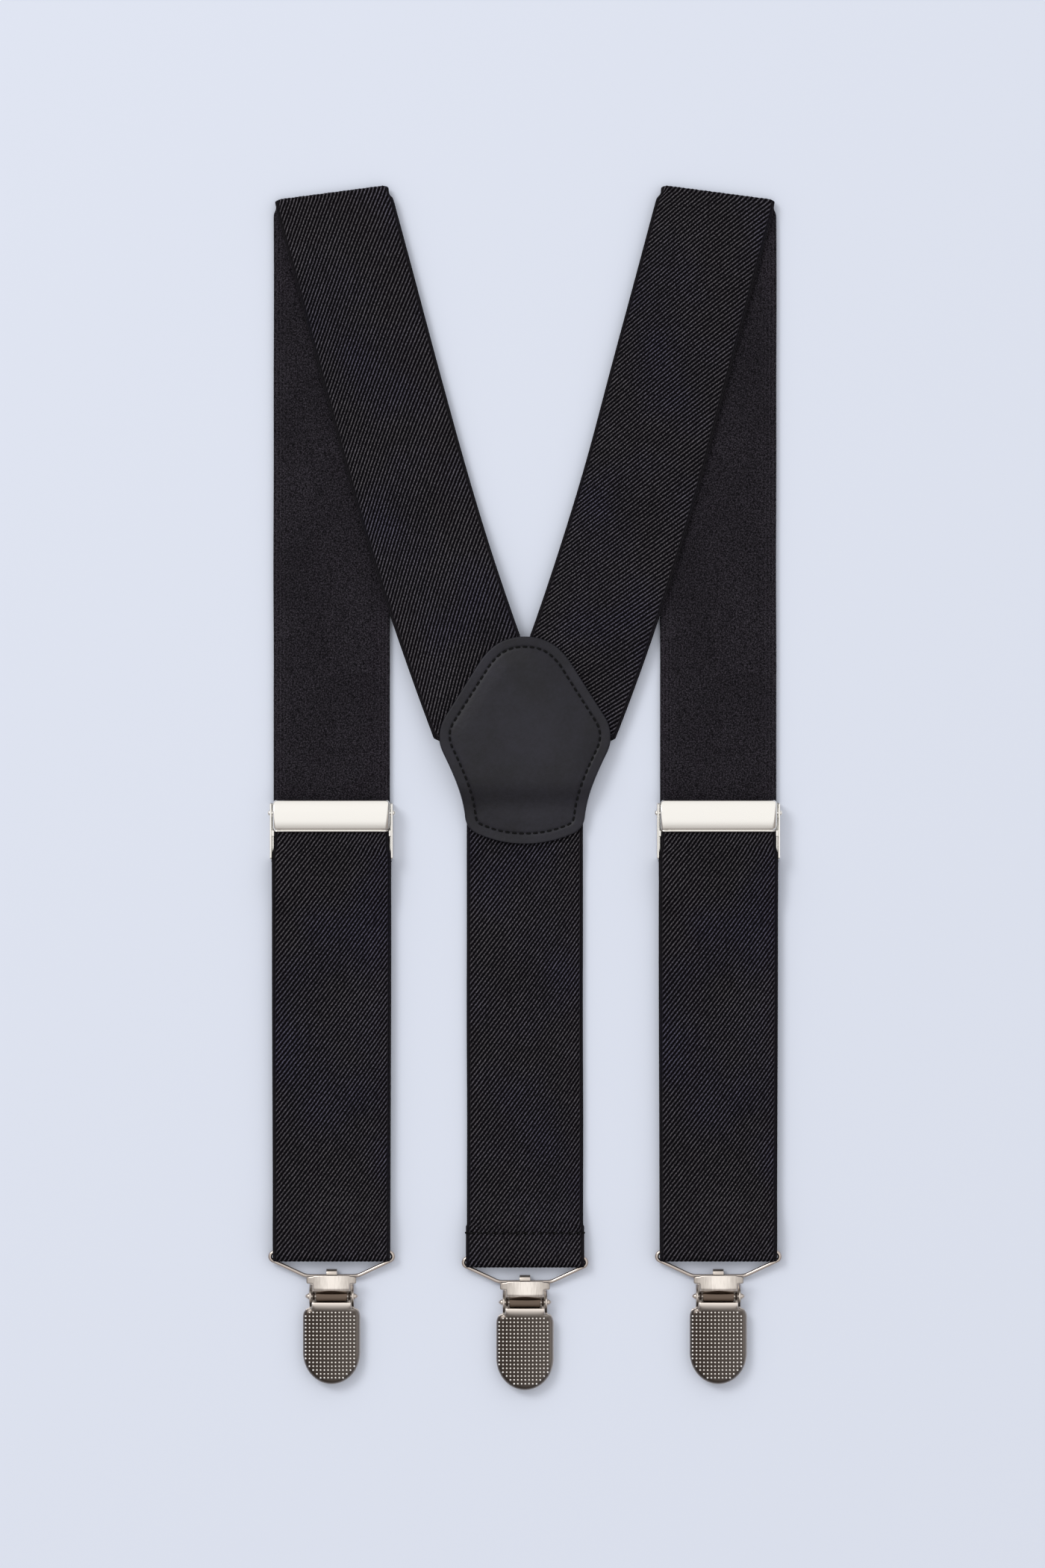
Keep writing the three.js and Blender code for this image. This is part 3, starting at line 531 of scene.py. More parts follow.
def loop_place(x_middle, offset):
    """The route's place, widening on its way round the hoop's bar."""
    follow = along_route(loop_route, x_middle, offset)

    def place(u, v, w):
        """x is stretched about the middle, from nothing up to 1.2 percent."""
        x, y, z = follow(u, v, w)
        return x_middle + (x - x_middle) * (1 + 0.012 * ease((v - offset) / loop_length)), y, z

    return place


for side, sign in sides:
    middle = sign * strap_x
    run_route = side_route([[upper_end, run_z], [loop_top, run_z]])
    lower_web = web_ribbon(side + "_lower_web", along_route(run_route, middle), 0.0, lower_length)
    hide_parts(side + "_lower_strap")
    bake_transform(lower_web)
    offset = lower_length
    loop_web = web_ribbon(side + "_loop_web", loop_place(middle, offset), offset, offset + loop_length)
    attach(loop_web, side + "_loop")
    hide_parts(side + "_hoop_loop")
    offset += loop_length
    front_web = web_ribbon(side + "_front_web", front_place(middle, offset), offset, offset + front_length)
    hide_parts(side + "_front_strap")
    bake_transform(front_web)


# ---- Back patch ----
# Two pieces of dark grey leather, cut to one outline and sewn together round the ends of the three
# straps. The front one is moulded over the straps that lie under it and swells inside its seam.

leather_thick = 1.2 * mm
seam_inset = 3.1 * mm


def leather_material(name, colour, roughness):
    """Leather with a fine pebbled grain and slow changes of tone, from half to one and a half the colour."""
    made, tree, surface = new_material(name, Roughness=roughness, Specular_IOR_Level=0.28)
    place = add_node(tree, "ShaderNodeTexCoord").outputs["Object"]
    pebbles = add_node(tree, "ShaderNodeTexVoronoi", {"Vector": place, "Scale": 1500.0}).outputs[0]
    grain = noise(tree, place, 900.0, 3.0)
    cloud = noise(tree, place, 70.0, 4.0)
    tone = maths(tree, "MULTIPLY_ADD", cloud, 0.7, maths(tree, "MULTIPLY", grain, 0.3))
    low = tuple(0.5 * part for part in colour) + (1,)
    high = tuple(1.5 * part for part in colour) + (1,)
    shade = blend_colours(tree, ramp(tree, tone, 0.25, 0.75), low, high)
    tree.links.new(shade, surface.inputs["Base Color"])
    emboss(tree, surface, maths(tree, "MULTIPLY_ADD", pebbles, 0.6, grain), 0.5, 0.06 * mm)
    return made


leather = leather_material("patch_leather_grey", (0.0085, 0.0082, 0.0135), 0.48)
cut_leather = leather_material("cut_leather", (0.022, 0.021, 0.026), 0.7)


def curve(*controls, count=12):
    """Points of the Bezier curve with these controls, from the first to the last."""
    share = np.linspace(0, 1, count + 1)[:, None]
    points = [np.array(control, float) + 0 * share for control in controls]
    while len(points) > 1:
        points = [a + (b - a) * share for a, b in zip(points[:-1], points[1:])]
    return points[0]


def dense(points, gap):
    """The same line with more points, none further apart than gap. Its corners are kept."""
    points = np.asarray(points, float)
    parts = [points[:1]]
    for a, b in zip(points[:-1], points[1:]):
        size = np.linalg.norm(b - a)
        if size > 1e-7:
            count = max(int(np.ceil(size / gap)), 1)
            parts.append(a + (b - a) * np.linspace(0, 1, count + 1)[1:, None])
    return np.concatenate(parts)


def mirrored(half):
    """A whole outline, counterclockwise, from its right half, which runs from bottom middle to top middle."""
    return np.concatenate([half, half[-2:0:-1] * (-1, 1)])


def inset_of(outline, flat):
    """The distance from each point to the nearest side of the outline."""
    nearest = np.full(flat.shape[:-1], np.inf)
    for start, step in zip(outline, np.roll(outline, -1, 0) - outline):
        along = np.clip(((flat - start) @ step) / (step @ step), 0, 1)
        nearest = np.minimum(nearest, np.linalg.norm(flat - start - along[..., None] * step, axis=-1))
    return nearest


def slab(half, spine, depths, inner, top, under):
    """Points and faces of a closed sheet with a mirrored outline, whose wall's faces come last.

    Rings of points lie at the depths inside the outline, and then at even shares of the way to the
    spine, a line inside it between two points. top and under give the heights from x, y and the
    distance to the edge.
    """
    outline = mirrored(half)
    low, high = np.array(spine, float)
    along = np.clip((outline - low) @ (high - low) / ((high - low) @ (high - low)), 0, 1)
    target = low + along[:, None] * (high - low)
    reach = np.linalg.norm(target - outline, axis=1)
    edge = np.minimum(np.array(depths)[:, None] / reach, 0.8 * np.linspace(0.1, 1, len(depths))[:, None])
    edge[0] = 0
    last = edge[-1]
    further = last + (1 - last) * np.linspace(0, 1, inner + 1)[1:, None]
    share = np.concatenate([edge, further])
    flat = outline + (target - outline) * share[:, :, None]
    inset = inset_of(outline, flat)
    x, y = flat[..., 0], flat[..., 1]
    upper = np.stack([x, y, top(x, y, inset)], -1).reshape(-1, 3)
    lower = np.stack([x, y, under(x, y, inset)], -1).reshape(-1, 3)
    index = np.arange(len(upper)).reshape(x.shape)
    keys = np.round(flat[-1] * 1e7)
    keys, first, back = np.unique(keys, axis=0, return_index=True, return_inverse=True)
    index[-1] = index[-1][first][back.ravel()]
    quads = between_rings(index)
    rim = index[0] + len(upper)
    wall = np.stack([rim, np.roll(rim, -1), np.roll(index[0], -1), index[0]], -1)
    rows = np.concatenate([quads, quads[:, ::-1] + len(upper), wall]).tolist()
    faces = [list(dict.fromkeys(row)) for row in rows]
    return np.concatenate([upper, lower]), [face for face in faces if len(face) > 2]


def joined(*parts):
    """One set of points and faces from several. Points that no face uses are left out."""
    points, faces, start = [], [], 0
    for some, rows in parts:
        points.append(some)
        faces += [[start + i for i in row] for row in rows]
        start += len(some)
    points = np.concatenate(points)
    used = np.zeros(start, bool)
    used[[i for row in faces for i in row]] = True
    new = np.cumsum(used) - 1
    return points[used], [[int(new[i]) for i in row] for row in faces]


def closed_tube(rings):
    """Points and faces of a tube through rings of points, with both ends closed."""
    index = np.arange(rings.shape[0] * rings.shape[1]).reshape(rings.shape[:2])
    ends = [index[0][::-1].tolist(), index[-1].tolist()]
    return rings.reshape(-1, 3), between_rings(index).tolist() + ends


def round_section(radius, sides):
    """A circle of points, or one circle for each radius."""
    angle = 2 * np.pi * np.arange(sides) / sides
    return np.asarray(radius)[..., None, None] * np.stack([np.cos(angle), np.sin(angle)], -1)


def sweep(line, section, up=(0, 0, 1)):
    """Points and faces of a closed bar: the section, or one for each point, carried along the line."""
    line = np.asarray(line, float)
    along = np.gradient(line, axis=0)
    along /= np.linalg.norm(along, axis=1)[:, None]
    side = np.cross(along, up)
    side /= np.linalg.norm(side, axis=1)[:, None]
    lift = np.cross(side, along)
    section = np.broadcast_to(section, (len(line),) + section.shape[-2:])
    rings = line[:, None] + section[..., :1] * side[:, None] + section[..., 1:] * lift[:, None]
    return closed_tube(rings[:, ::-1])


def rounded(inset, radius):
    """How far a rounded edge of that radius has dropped at this distance inside it."""
    left = radius - np.clip(inset, 0, radius)
    return radius - np.sqrt(np.maximum(radius**2 - left**2, 0))


patch_half = dense(
    mm * np.concatenate([
        curve((0, -17.1), (7.04, -17.1), (13.4, -14.5)),
        curve((13.4, -14.5), (17.4, -13.2), (17.9, -9.1))[1:],
        curve((17.9, -9.1), (18.6, -2.5), (21.2, 3.5), (24.7, 10.7), count=16)[1:],
        curve((24.7, 10.7), (26.9, 15.9), (24.3, 20.7))[1:],
        [(13.5, 37.8)],
        curve((13.5, 37.8), (10.5, 42), (7, 45.2), (0, 45.2), count=16)[1:],
    ]),
    0.8 * mm,
)
patch_outline = mirrored(patch_half)
patch_spine = ((0, -4 * mm), (0, 26 * mm))
patch_depths = mm * np.array([0, 0.12, 0.35, 0.8, 1.5, 2.2, 2.6, 2.85, 3.1, 3.35, 3.6, 4.0, 4.8, 6.0])


def along_diagonal(x, y):
    """(distance, across) of points in the curved last part of the right diagonal: the angle about the
    arc's centre times its radius, and the distance to that centre less the radius."""
    centre_x = -np.sin(heading) * straight_length - bend_radius * np.cos(heading) + strap_x
    centre_y = -np.cos(heading) * straight_length + bend_radius * np.sin(heading) + fold_y
    angle = np.arctan2(centre_y - y, x - centre_x)
    across = np.hypot(x - centre_x, y - centre_y) - bend_radius
    return straight_length + (angle - heading) * bend_radius, across


def straps_under_leather():
    """A height function for the top of the straps inside the patch, spread sideways and then smoothed."""
    step = 0.5 * mm
    gx = np.arange(-64, 65) * step
    gy = np.arange(-50, 106) * step
    x, y = np.meshgrid(gx, gy, indexing="ij")
    half = web_width / 2
    top = np.full(x.shape, leather_thick)
    top = np.where((np.abs(x) < half) & (y < back_top), in_patch_z + web_thick / 2, top)
    for side, sign in sides:
        distance, across = along_diagonal(sign * x, y)
        inside = (np.abs(across) < half) & (distance + 0.4 * across < diagonal_length)
        top = np.where(inside, np.maximum(top, patch_level[side] + web_thick / 2), top)
    near = [(i, j) for i in range(-6, 7) for j in range(-6, 7) if i * i + j * j <= 37]
    smooth = top
    for blend in (np.max, np.max, np.mean, np.mean, np.mean):
        smooth = blend([np.roll(smooth, shift, (0, 1)) for shift in near], axis=0)

    def height(x, y):
        """The smoothed grid's height at x and y, in even shares of the four points round them."""
        i = np.clip((x - gx[0]) / step, 0, len(gx) - 1.001)
        j = np.clip((y - gy[0]) / step, 0, len(gy) - 1.001)
        low_i, low_j = i.astype(int), j.astype(int)
        p, q = i - low_i, j - low_j
        left = smooth[low_i, low_j] * (1 - q) + smooth[low_i, low_j + 1] * q
        right = smooth[low_i + 1, low_j] * (1 - q) + smooth[low_i + 1, low_j + 1] * q
        return left * (1 - p) + right * p

    return height


strap_height = straps_under_leather()


def seam_groove(inset, width):
    """A groove's share of its depth: a bell curve of the distance to the seam."""
    return np.exp(-(((inset - seam_inset) / width) ** 2))


def front_under(x, y, inset):
    """The front leather's lower side: over the straps, and swelling inside its seam."""
    return strap_height(x, y) + 0.1 * mm + 0.45 * mm * ease((inset - seam_inset) / (5 * mm))


def front_top(x, y, inset):
    """The front leather's upper side: grooved at the seam and rounded at its edge."""
    level = front_under(x, y, inset) + leather_thick
    return level - 0.3 * mm * seam_groove(inset, 0.42 * mm) - rounded(inset, 0.35 * mm)


def back_under(x, y, inset):
    """The back leather's lower side: flat, with the seam's groove and a rounded edge."""
    return 0.25 * mm * seam_groove(inset, 0.4 * mm) + rounded(inset, 0.2 * mm)


def back_upper(x, y, inset):
    """The back leather's upper side: flat, with a rounded edge."""
    return leather_thick - rounded(inset, 0.3 * mm)


def leather_piece(name, half, top, under, node):
    """One leather, riding with the straps that are sewn into it. Its wall is the cut edge."""
    points, faces = slab(half, patch_spine, patch_depths, 14, top, under)
    wall = len(mirrored(half))
    kinds = [0] * (len(faces) - wall) + [1] * wall
    points, faces = joined((points, faces))
    piece = new_piece(name, points, faces, "patch_leather", leather, cut_leather, smooth_below=50)
    set_kinds(piece, kinds)
    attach(piece, "root")
    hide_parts(node)


leather_piece("patch_front_leather", patch_half, front_top, front_under, "patch_front")
leather_piece("patch_back_leather", patch_half * (1.008, 1), back_upper, back_under, "patch_back")


# ---- Patch seam ----
# One closed row of machine stitches through both leathers, set in from the edge. Each stitch is a short
# raised length of black thread, whose ends go down into the leather.

stitch_pitch = 2.1 * mm
stitch_length = 1.5 * mm
thread_radius = 0.3 * mm
thread = new_material(
    "black_thread",
    Base_Color=(0.0015, 0.0015, 0.0018, 1),
    Roughness=0.6,
    Specular_IOR_Level=0.12,
    Sheen_Weight=0.02,
)[0]


def evenly(line, pitch):
    """(places, directions) at even steps of about the pitch along a line."""
    lengths = np.concatenate([[0], np.cumsum(np.linalg.norm(np.diff(line, axis=0), axis=1))])
    count = int(round(lengths[-1] / pitch))
    middle = (np.arange(count) + 0.5) * lengths[-1] / count

    def at(distance):
        """The line's points after these lengths."""
        return np.stack([np.interp(distance, lengths, line[:, k]) for k in (0, 1)], -1)

    way = at(middle + 0.2 * mm) - at(middle - 0.2 * mm)
    return at(middle), way / np.linalg.norm(way, axis=1)[:, None]


def stitch_row(places, ways, level, facing=1):
    """Short threads at the places, thinner and sunk at their ends by the sixth power of the share.

    level(x, y) is the surface, and facing is -1 for a row that hangs below it.
    """
    parts = []
    share = np.linspace(-1, 1, 7)
    width = thread_radius * np.sqrt(np.maximum(1 - 0.85 * share**6, 0.05))
    for place, way in zip(places, ways):
        flat = place + share[:, None] * way * stitch_length / 2
        sunk = 0.1 * mm - 0.3 * mm * share**6
        z = level(place[0], place[1]) + facing * sunk
        line = np.concatenate([flat, z[:, None]], 1)
        parts.append(sweep(line, round_section(width, 6)))
    return joined(*parts)


edge_way = np.roll(patch_outline, -1, 0) - np.roll(patch_outline, 1, 0)
inward = np.stack([-edge_way[:, 1], edge_way[:, 0]], -1) / np.linalg.norm(edge_way, axis=1)[:, None]
seam_line = patch_outline + seam_inset * inward
seam_line = seam_line[inset_of(patch_outline, seam_line) > seam_inset - 0.04 * mm]
seam_places, seam_ways = evenly(np.concatenate([seam_line, seam_line[:1]]), stitch_pitch)
seam = joined(
    stitch_row(seam_places, seam_ways, lambda x, y: front_top(x, y, seam_inset)),
    stitch_row(seam_places, seam_ways, lambda x, y: 0.27 * mm, facing=-1),
)
patch_seam = new_piece("patch_seam", *seam, "sewing_thread", thread)
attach(patch_seam, "root")
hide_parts("patch_stitching")


# ---- Seams of the webbing ----
# The back strap's hem and the end that is wrapped round each adjuster's bar are held by a straight row
# of stitches from edge to edge. Its thread ends in a small knot outside the web.

row_x = (np.arange(15) - 7) * stitch_pitch * 1.08


def web_seam(name, middle_x, y, level, body, node):
    """A row of stitches across the web, with a knot at each end."""
    places = np.stack([middle_x + row_x, np.full(len(row_x), y)], -1)
    ways = np.tile([1.0, 0.0], (len(row_x), 1))
    parts = [stitch_row(places, ways, lambda x, y: level)]
    for end in (-1, 1):
        share = np.linspace(-1, 1, 7)
        x = middle_x + end * (web_width / 2 + 0.1 * mm + 0.5 * mm * share)
        line = np.stack([x, y + 0.05 * mm * share, np.full(7, level - 0.35 * mm)], -1)
        width = 0.42 * mm * np.sqrt(np.maximum(1 - share**2, 0.02))
        parts.append(sweep(line[::end], round_section(width, 8)))
    piece = new_piece(name, *joined(*parts), "sewing_thread", thread)
    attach(piece, body)
    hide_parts(node)


web_seam("back_hem_seam", 0.0, hem_seam, over_z + 0.95 * mm, "root", "back_hem_stitching")
for side, sign in sides:
    seam_level = over_tail + web_thick / 2 - 0.1 * mm
    web_seam(
        side + "_adjuster_seam",
        sign * strap_x,
        pivot_y - 14.5 * mm,
        seam_level,
        side + "_adjuster",
        side + "_adjuster_stitching",
    )


# ---- Hoops ----
# Each hoop is one nickel-plated wire. Its bar runs inside the web, its ends bulge out in a round bend
# beside the web, and its straight legs run down to the short bar that the clip hangs from.

wire_radius = 0.6 * mm
hoop_drop = 6.3 * mm
clip_bar_z = joints["right_clip_swing"]["pos_m"][2]


def metal(name, colour, roughness, brushed=0.0, along=1):
    """Polished or brushed metal. Brushing is fine lines along one of the three axes."""
    made, tree, surface = new_material(name, Base_Color=colour + (1,), Metallic=1.0, Roughness=roughness)
    if brushed:
        scale = [5200.0, 5200.0, 5200.0]
        scale[along] = 260.0
        place = add_node(tree, "ShaderNodeTexCoord").outputs["Object"]
        lines = add_node(tree, "ShaderNodeMapping", {"Vector": place, "Scale": scale}).outputs[0]
        emboss(tree, surface, noise(tree, lines, 1.0, 3.0), brushed, 0.05 * mm)
    return made


wire_nickel = metal("wire_nickel", (0.52, 0.46, 0.42), 0.2)
bend_x, bend_y, bend_r = 17.15 * mm, -0.35 * mm, 1.35 * mm
leg_angle = np.radians(25.5)
leg_from = np.array([bend_x + bend_r * np.sin(leg_angle), bend_y - bend_r * np.cos(leg_angle)])
foot_x = leg_from[0] - (hoop_drop + leg_from[1]) / np.tan(leg_angle)
around = np.linspace(np.pi / 2, leg_angle - np.pi / 2, 18)
half_hoop = np.concatenate([
    [(0, 0), (6 * mm, 0), (12 * mm, 0)],
    curve((15.4 * mm, 0), (16.4 * mm, 0), (16.4 * mm, 1 * mm), (bend_x - 0.01 * mm, 1 * mm), count=8),
    np.stack([bend_x + bend_r * np.cos(around), bend_y + bend_r * np.sin(around)], -1),
    curve(
        (foot_x + 1.2 * mm, -hoop_drop + 1.2 * mm * np.tan(leg_angle)),
        (foot_x, -hoop_drop),
        (foot_x - 1.3 * mm, -hoop_drop),
        count=6,
    ),
    [(foot_x / 2, -hoop_drop), (0, -hoop_drop)],
])
hoop_flat = np.concatenate([half_hoop, half_hoop[-2::-1] * (-1, 1)])
wire_gap = 0.26 * mm  # between the wire's two ends, inside the web
hoop_flat[[0, -1], 0] = wire_gap / 2, -wire_gap / 2
hoop_level = bar_z + np.clip(-hoop_flat[:, 1] / hoop_drop, 0, 1) * (clip_bar_z - bar_z)
clip_x = {"left": -strap_x, "right": strap_x, "back": 0.0}
for side, x in clip_x.items():
    line = np.concatenate([hoop_flat + (x, bar_y[side]), hoop_level[:, None]], 1)
    wire = new_piece(
        side + "_wire_hoop",
        *sweep(line, round_section(wire_radius, 14)),
        "bright_nickel",
        wire_nickel,
        smooth_below=50,
    )
    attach(wire, side + "_wire")
    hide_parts(side + "_hoop")


# ---- Slide adjusters ----
# A pressed frame lies behind the web, with a wall up each side and a bar between them for the wrapped
# end. A flip cover hangs on two rivets in the walls, and its toothed ridge grips the web when it shuts.

wall_in, wall_out = 17.9 * mm, 18.5 * mm
wall_top = 6.2 * mm
frame_above, frame_below = 3 * mm, 13.9 * mm
pivot_z = joints["right_cover_flip"]["pos_m"][2]
nickel = metal("bright_nickel", (0.87, 0.85, 0.81), 0.16)


def prism(outline, low, high, bevel, axes="xyz"):
    """Points and faces of a flat bar with bevelled edges. The outline lies in the first two axes, and
    low and high are its ends on the third."""
    outline = np.asarray(outline, float)
    order = ["xyz".index(axis) for axis in axes]
    after = np.roll(outline, -1, 0)
    area = (outline[:, 0] * after[:, 1] - outline[:, 1] * after[:, 0]).sum()
    turn = 1 if order in ([0, 1, 2], [1, 2, 0], [2, 0, 1]) else -1
    if area * turn < 0:
        outline = outline[::-1]
    step = np.roll(outline, -1, 0) - outline
    normal = turn * np.stack([step[:, 1], -step[:, 0]], -1) / np.linalg.norm(step, axis=1)[:, None]
    before = np.roll(normal, 1, 0)
    inner = outline - bevel * (normal + before) / (1 + (normal * before).sum(-1))[:, None]
    rings = [(inner, low), (outline, low + bevel), (outline, high - bevel), (inner, high)]
    points = np.concatenate([np.column_stack([ring, np.full(len(ring), level)]) for ring, level in rings])
    placed = np.zeros_like(points)
    placed[:, order] = points
    return closed_tube(placed.reshape(4, -1, 3))


def rectangle(a0, a1, b0, b1, corner=0.0):
    """A rectangle's outline, with its corners cut off in three steps when corner isn't 0."""
    if not corner:
        return [(a0, b0), (a1, b0), (a1, b1), (a0, b1)]
    points = []
    for a, b, start in ((a1, b0, -90), (a1, b1, 0), (a0, b1, 90), (a0, b0, 180)):
        angle = np.radians(start + np.array([0, 22.5, 45, 67.5, 90]))
        centre_a = a - corner * np.sign(a - (a0 + a1) / 2)
        centre_b = b - corner * np.sign(b - (b0 + b1) / 2)
        points += zip(centre_a + corner * np.cos(angle), centre_b + corner * np.sin(angle))
    return points


def turned(outline, centre, sides=24):
    """Points and faces of a shape turned about a line along x. outline has (x, radius) pairs, and the
    line goes through centre, a (y, z) pair."""
    outline = np.asarray(outline, float)
    circles = np.asarray(centre) + round_section(outline[:, 1], sides)
    x = np.broadcast_to(outline[:, :1, None], circles.shape[:2] + (1,))
    return closed_tube(np.concatenate([x, circles], 2))


def flipped(part):
    """The same shape, mirrored in x."""
    return part[0] * (-1, 1, 1), [face[::-1] for face in part[1]]


def frame_parts():
    """The frame about its pivot: plate, walls and bar."""
    plate_outline = rectangle(-wall_out, wall_out, -frame_below, frame_above, 1 * mm)
    plate = prism(plate_outline, 0, 0.4 * mm, 0.08 * mm)
    wall_outline = rectangle(-frame_below, frame_above, 0.02 * mm, wall_top, 0.7 * mm)
    wall = prism(wall_outline, wall_in, wall_out, 0.1 * mm, "yzx")
    bar_outline = rectangle(-7.1 * mm, -5.1 * mm, 3.65 * mm, 4.45 * mm, 0.25 * mm)
    bar = prism(bar_outline, -18.2 * mm, 18.2 * mm, 0.05 * mm, "yzx")
    return joined(plate, wall, flipped(wall), bar)


cover_top_y, cover_low_y = 3.9 * mm, -5.8 * mm


def cover_level(x, y, inset):
    """The cover's upper side: a low crown, a bevel at its ends that widens downwards, and a rolled lip."""
    middle = (cover_top_y + cover_low_y) / 2
    reach = (cover_top_y - cover_low_y) / 2
    share = np.abs(y - middle) / reach
    crown = 6.6 * mm + 1.5 * mm * (1 - share**2.1)
    bevel_from = web_width / 2 - 0.35 * mm - 0.105 * (cover_top_y - y)
    bevel_from = np.where(x < 0, bevel_from + 0.55 * mm, bevel_from)
    bevel = 0.75 * np.maximum(np.abs(x) - bevel_from, 0)
    lip = 0.16 * mm * np.exp(-(((y - cover_low_y - 0.22 * mm) / (0.2 * mm)) ** 2))
    crease = 0.2 * mm * np.exp(-(((y - cover_low_y - 0.62 * mm) / (0.14 * mm)) ** 2))
    return crown - bevel + lip - crease - rounded(inset, 0.4 * mm)


def cover_under(x, y, inset):
    """The cover's lower side: one sheet below its upper side, as it is away from the edge."""
    return cover_level(x, y, inset * 0 + 1) - 0.6 * mm


def cover_parts():
    """The cover about its pivot: pressed sheet, two cheeks and the toothed ridge."""
    right, low, high = web_width / 2, cover_low_y, cover_top_y
    corner = 1.25 * mm
    corner_low = curve((right - corner, low), (right, low), (right, low + corner), count=6)
    corner_high = curve((right, high - corner), (right, high), (right - corner, high), count=6)
    half = np.concatenate([[(0, low)], corner_low, corner_high, [(0, high)]])
    depths = mm * np.array([0, 0.06, 0.14, 0.24, 0.34, 0.44, 0.54, 0.62, 0.7, 0.8, 0.95, 1.2, 1.6, 2.2])
    half = dense(half, 0.5 * mm)
    middle = (low + high) / 2
    spine = ((-12.6 * mm, middle), (12.6 * mm, middle))
    sheet = slab(half, spine, depths, 8, cover_level, cover_under)
    arc = np.radians(np.linspace(180, 360, 13))
    cheek_outline = np.stack([1.3 * mm * np.cos(arc), pivot_z + 1.3 * mm * np.sin(arc)], -1)
    cheek_outline = np.concatenate([cheek_outline, [(1.3 * mm, 7.2 * mm), (-1.3 * mm, 7.2 * mm)]])
    cheek = prism(cheek_outline, 16.7 * mm, 17.3 * mm, 0.08 * mm, "yzx")
    teeth = np.linspace(-16, 16, 33) * mm
    tips = np.where(np.arange(33) % 2, 2.15, 2.95) * mm
    comb = np.concatenate([np.stack([teeth, tips], -1), [(16 * mm, 7.1 * mm), (-16 * mm, 7.1 * mm)]])
    ridge = prism(comb, 0.0, 0.6 * mm, 0.03 * mm, "xzy")
    return joined(sheet, cheek, flipped(cheek), ridge)


def rivet_part():
    """The rivet of the right wall: a domed head outside, and a stem through the wall and the cheek."""
    dome = np.radians(np.linspace(0, 88, 8))
    head = np.stack([wall_out + 0.05 * mm + 0.7 * mm * np.sin(dome), 0.9 * mm * np.cos(dome)], -1)
    stem = [(16.9 * mm, 0.02 * mm), (17.0 * mm, 0.45 * mm), (wall_out, 0.45 * mm)]
    collar = [(wall_out + 0.04 * mm, 0.85 * mm)]
    return turned(np.concatenate([stem, collar, head]), (0, pivot_z))


def fitted(name, part, place, body, node, slot, *materials):
    """A new piece from a part's points and faces, at its place on a body, instead of the node."""
    points, faces = part
    piece = new_piece(name, points + place, faces, slot, *materials)
    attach(piece, body)
    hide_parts(node)
    return piece


for side, sign in sides:
    place = (sign * strap_x, pivot_y, 0)
    body = side + "_adjuster"
    fitted(body + "_plate", frame_parts(), place, body, side + "_adjuster_frame", "bright_nickel", nickel)
    cover_node = side + "_adjuster_cover"
    fitted(side + "_flip_cover", cover_parts(), place, side + "_cover", cover_node, "bright_nickel", nickel)
    for where, direction in (("outer", 1), ("inner", -1)):
        part = rivet_part() if sign * direction > 0 else flipped(rivet_part())
        name, node = side + "_" + where + "_rivet", side + "_adjuster_" + where + "_rivet"
        fitted(name, part, place, body, node, "bright_nickel", nickel)


# ---- Clips ----
# The back plate's ears carry a pin, and its tab is bent round the hoop's short bar. The front jaw and
# the lever turn on the pin, and the lever's barrel presses the jaw shut. A grip lines each jaw.

pin_z = joints["right_lever_flip"]["pos_m"][2]
pin_y = {side: joints[side + "_lever_flip"]["pos_m"][1] for side in clip_x}
ear_x = 6.7 * mm
jaw_x = 8.6 * mm
barrel_radius = 1.5 * mm
bore_radius = 0.66 * mm
plastic = new_material("grip_plastic", Base_Color=(0.03, 0.03, 0.032, 1), Roughness=0.5)[0]
satin = metal("satin_nickel", (0.62, 0.56, 0.51), 0.3, brushed=0.25)
# The barrel, cam and web under the lever are painted dark brown as the shade in the recess below it.
dark_nickel = metal("dark_nickel", (0.14, 0.105, 0.083), 0.32, brushed=0.3, along=0)
# The jaw's dots are a near-white nickel.
tip_nickel = metal("worn_nickel", (0.93, 0.90, 0.86), 0.3)


def colour_by_shine(name, unlit_colour, bright, roughness, brushed, streaks=False):
    """A brushed metal whose colour goes from unlit to bright by its piece's painted shine, a share of painted
    light, which streaks may vary.
    """
    made = metal(name, unlit_colour, roughness, brushed)
    tree = made.node_tree
    share = add_node(tree, "ShaderNodeAttribute", attribute_name="shine").outputs["Fac"]
    if streaks:
        place = add_node(tree, "ShaderNodeTexCoord").outputs["Object"]
        lines = add_node(tree, "ShaderNodeMapping", {"Vector": place, "Scale": (2600, 300, 300)}).outputs[0]
        streak = maths(tree, "MULTIPLY_ADD", noise(tree, lines, 1.0, 3.0), 0.8, 0.6)
        share = maths(tree, "MULTIPLY", share, streak)
    colour = blend_colours(tree, share, unlit_colour + (1,), bright + (1,))
    tree.links.new(colour, tree.nodes["Principled BSDF"].inputs["Base Color"])
    return made


# The lever's dark sides and bright middle are painted reflection and shade; its streaks are patina.
lever_nickel = colour_by_shine(
    "lever_nickel", (0.16, 0.13, 0.11), (0.88, 0.82, 0.76), 0.32, 0.35, streaks=True
)
# The jaw is dark between its dots; its brighter neck, rim and right side are painted light.
jaw_nickel = colour_by_shine("jaw_nickel", (0.042, 0.032, 0.027), (0.80, 0.73, 0.67), 0.3, 0.3)


def set_shine(piece, share):
    """Stores how bright each point of the piece is painted by its painted light, from 0 to 1."""
    shine = piece.data.attributes.new("shine", "FLOAT", "POINT")
    shine.data.foreach_set("value", np.clip(share, 0, 1).astype(np.float32))


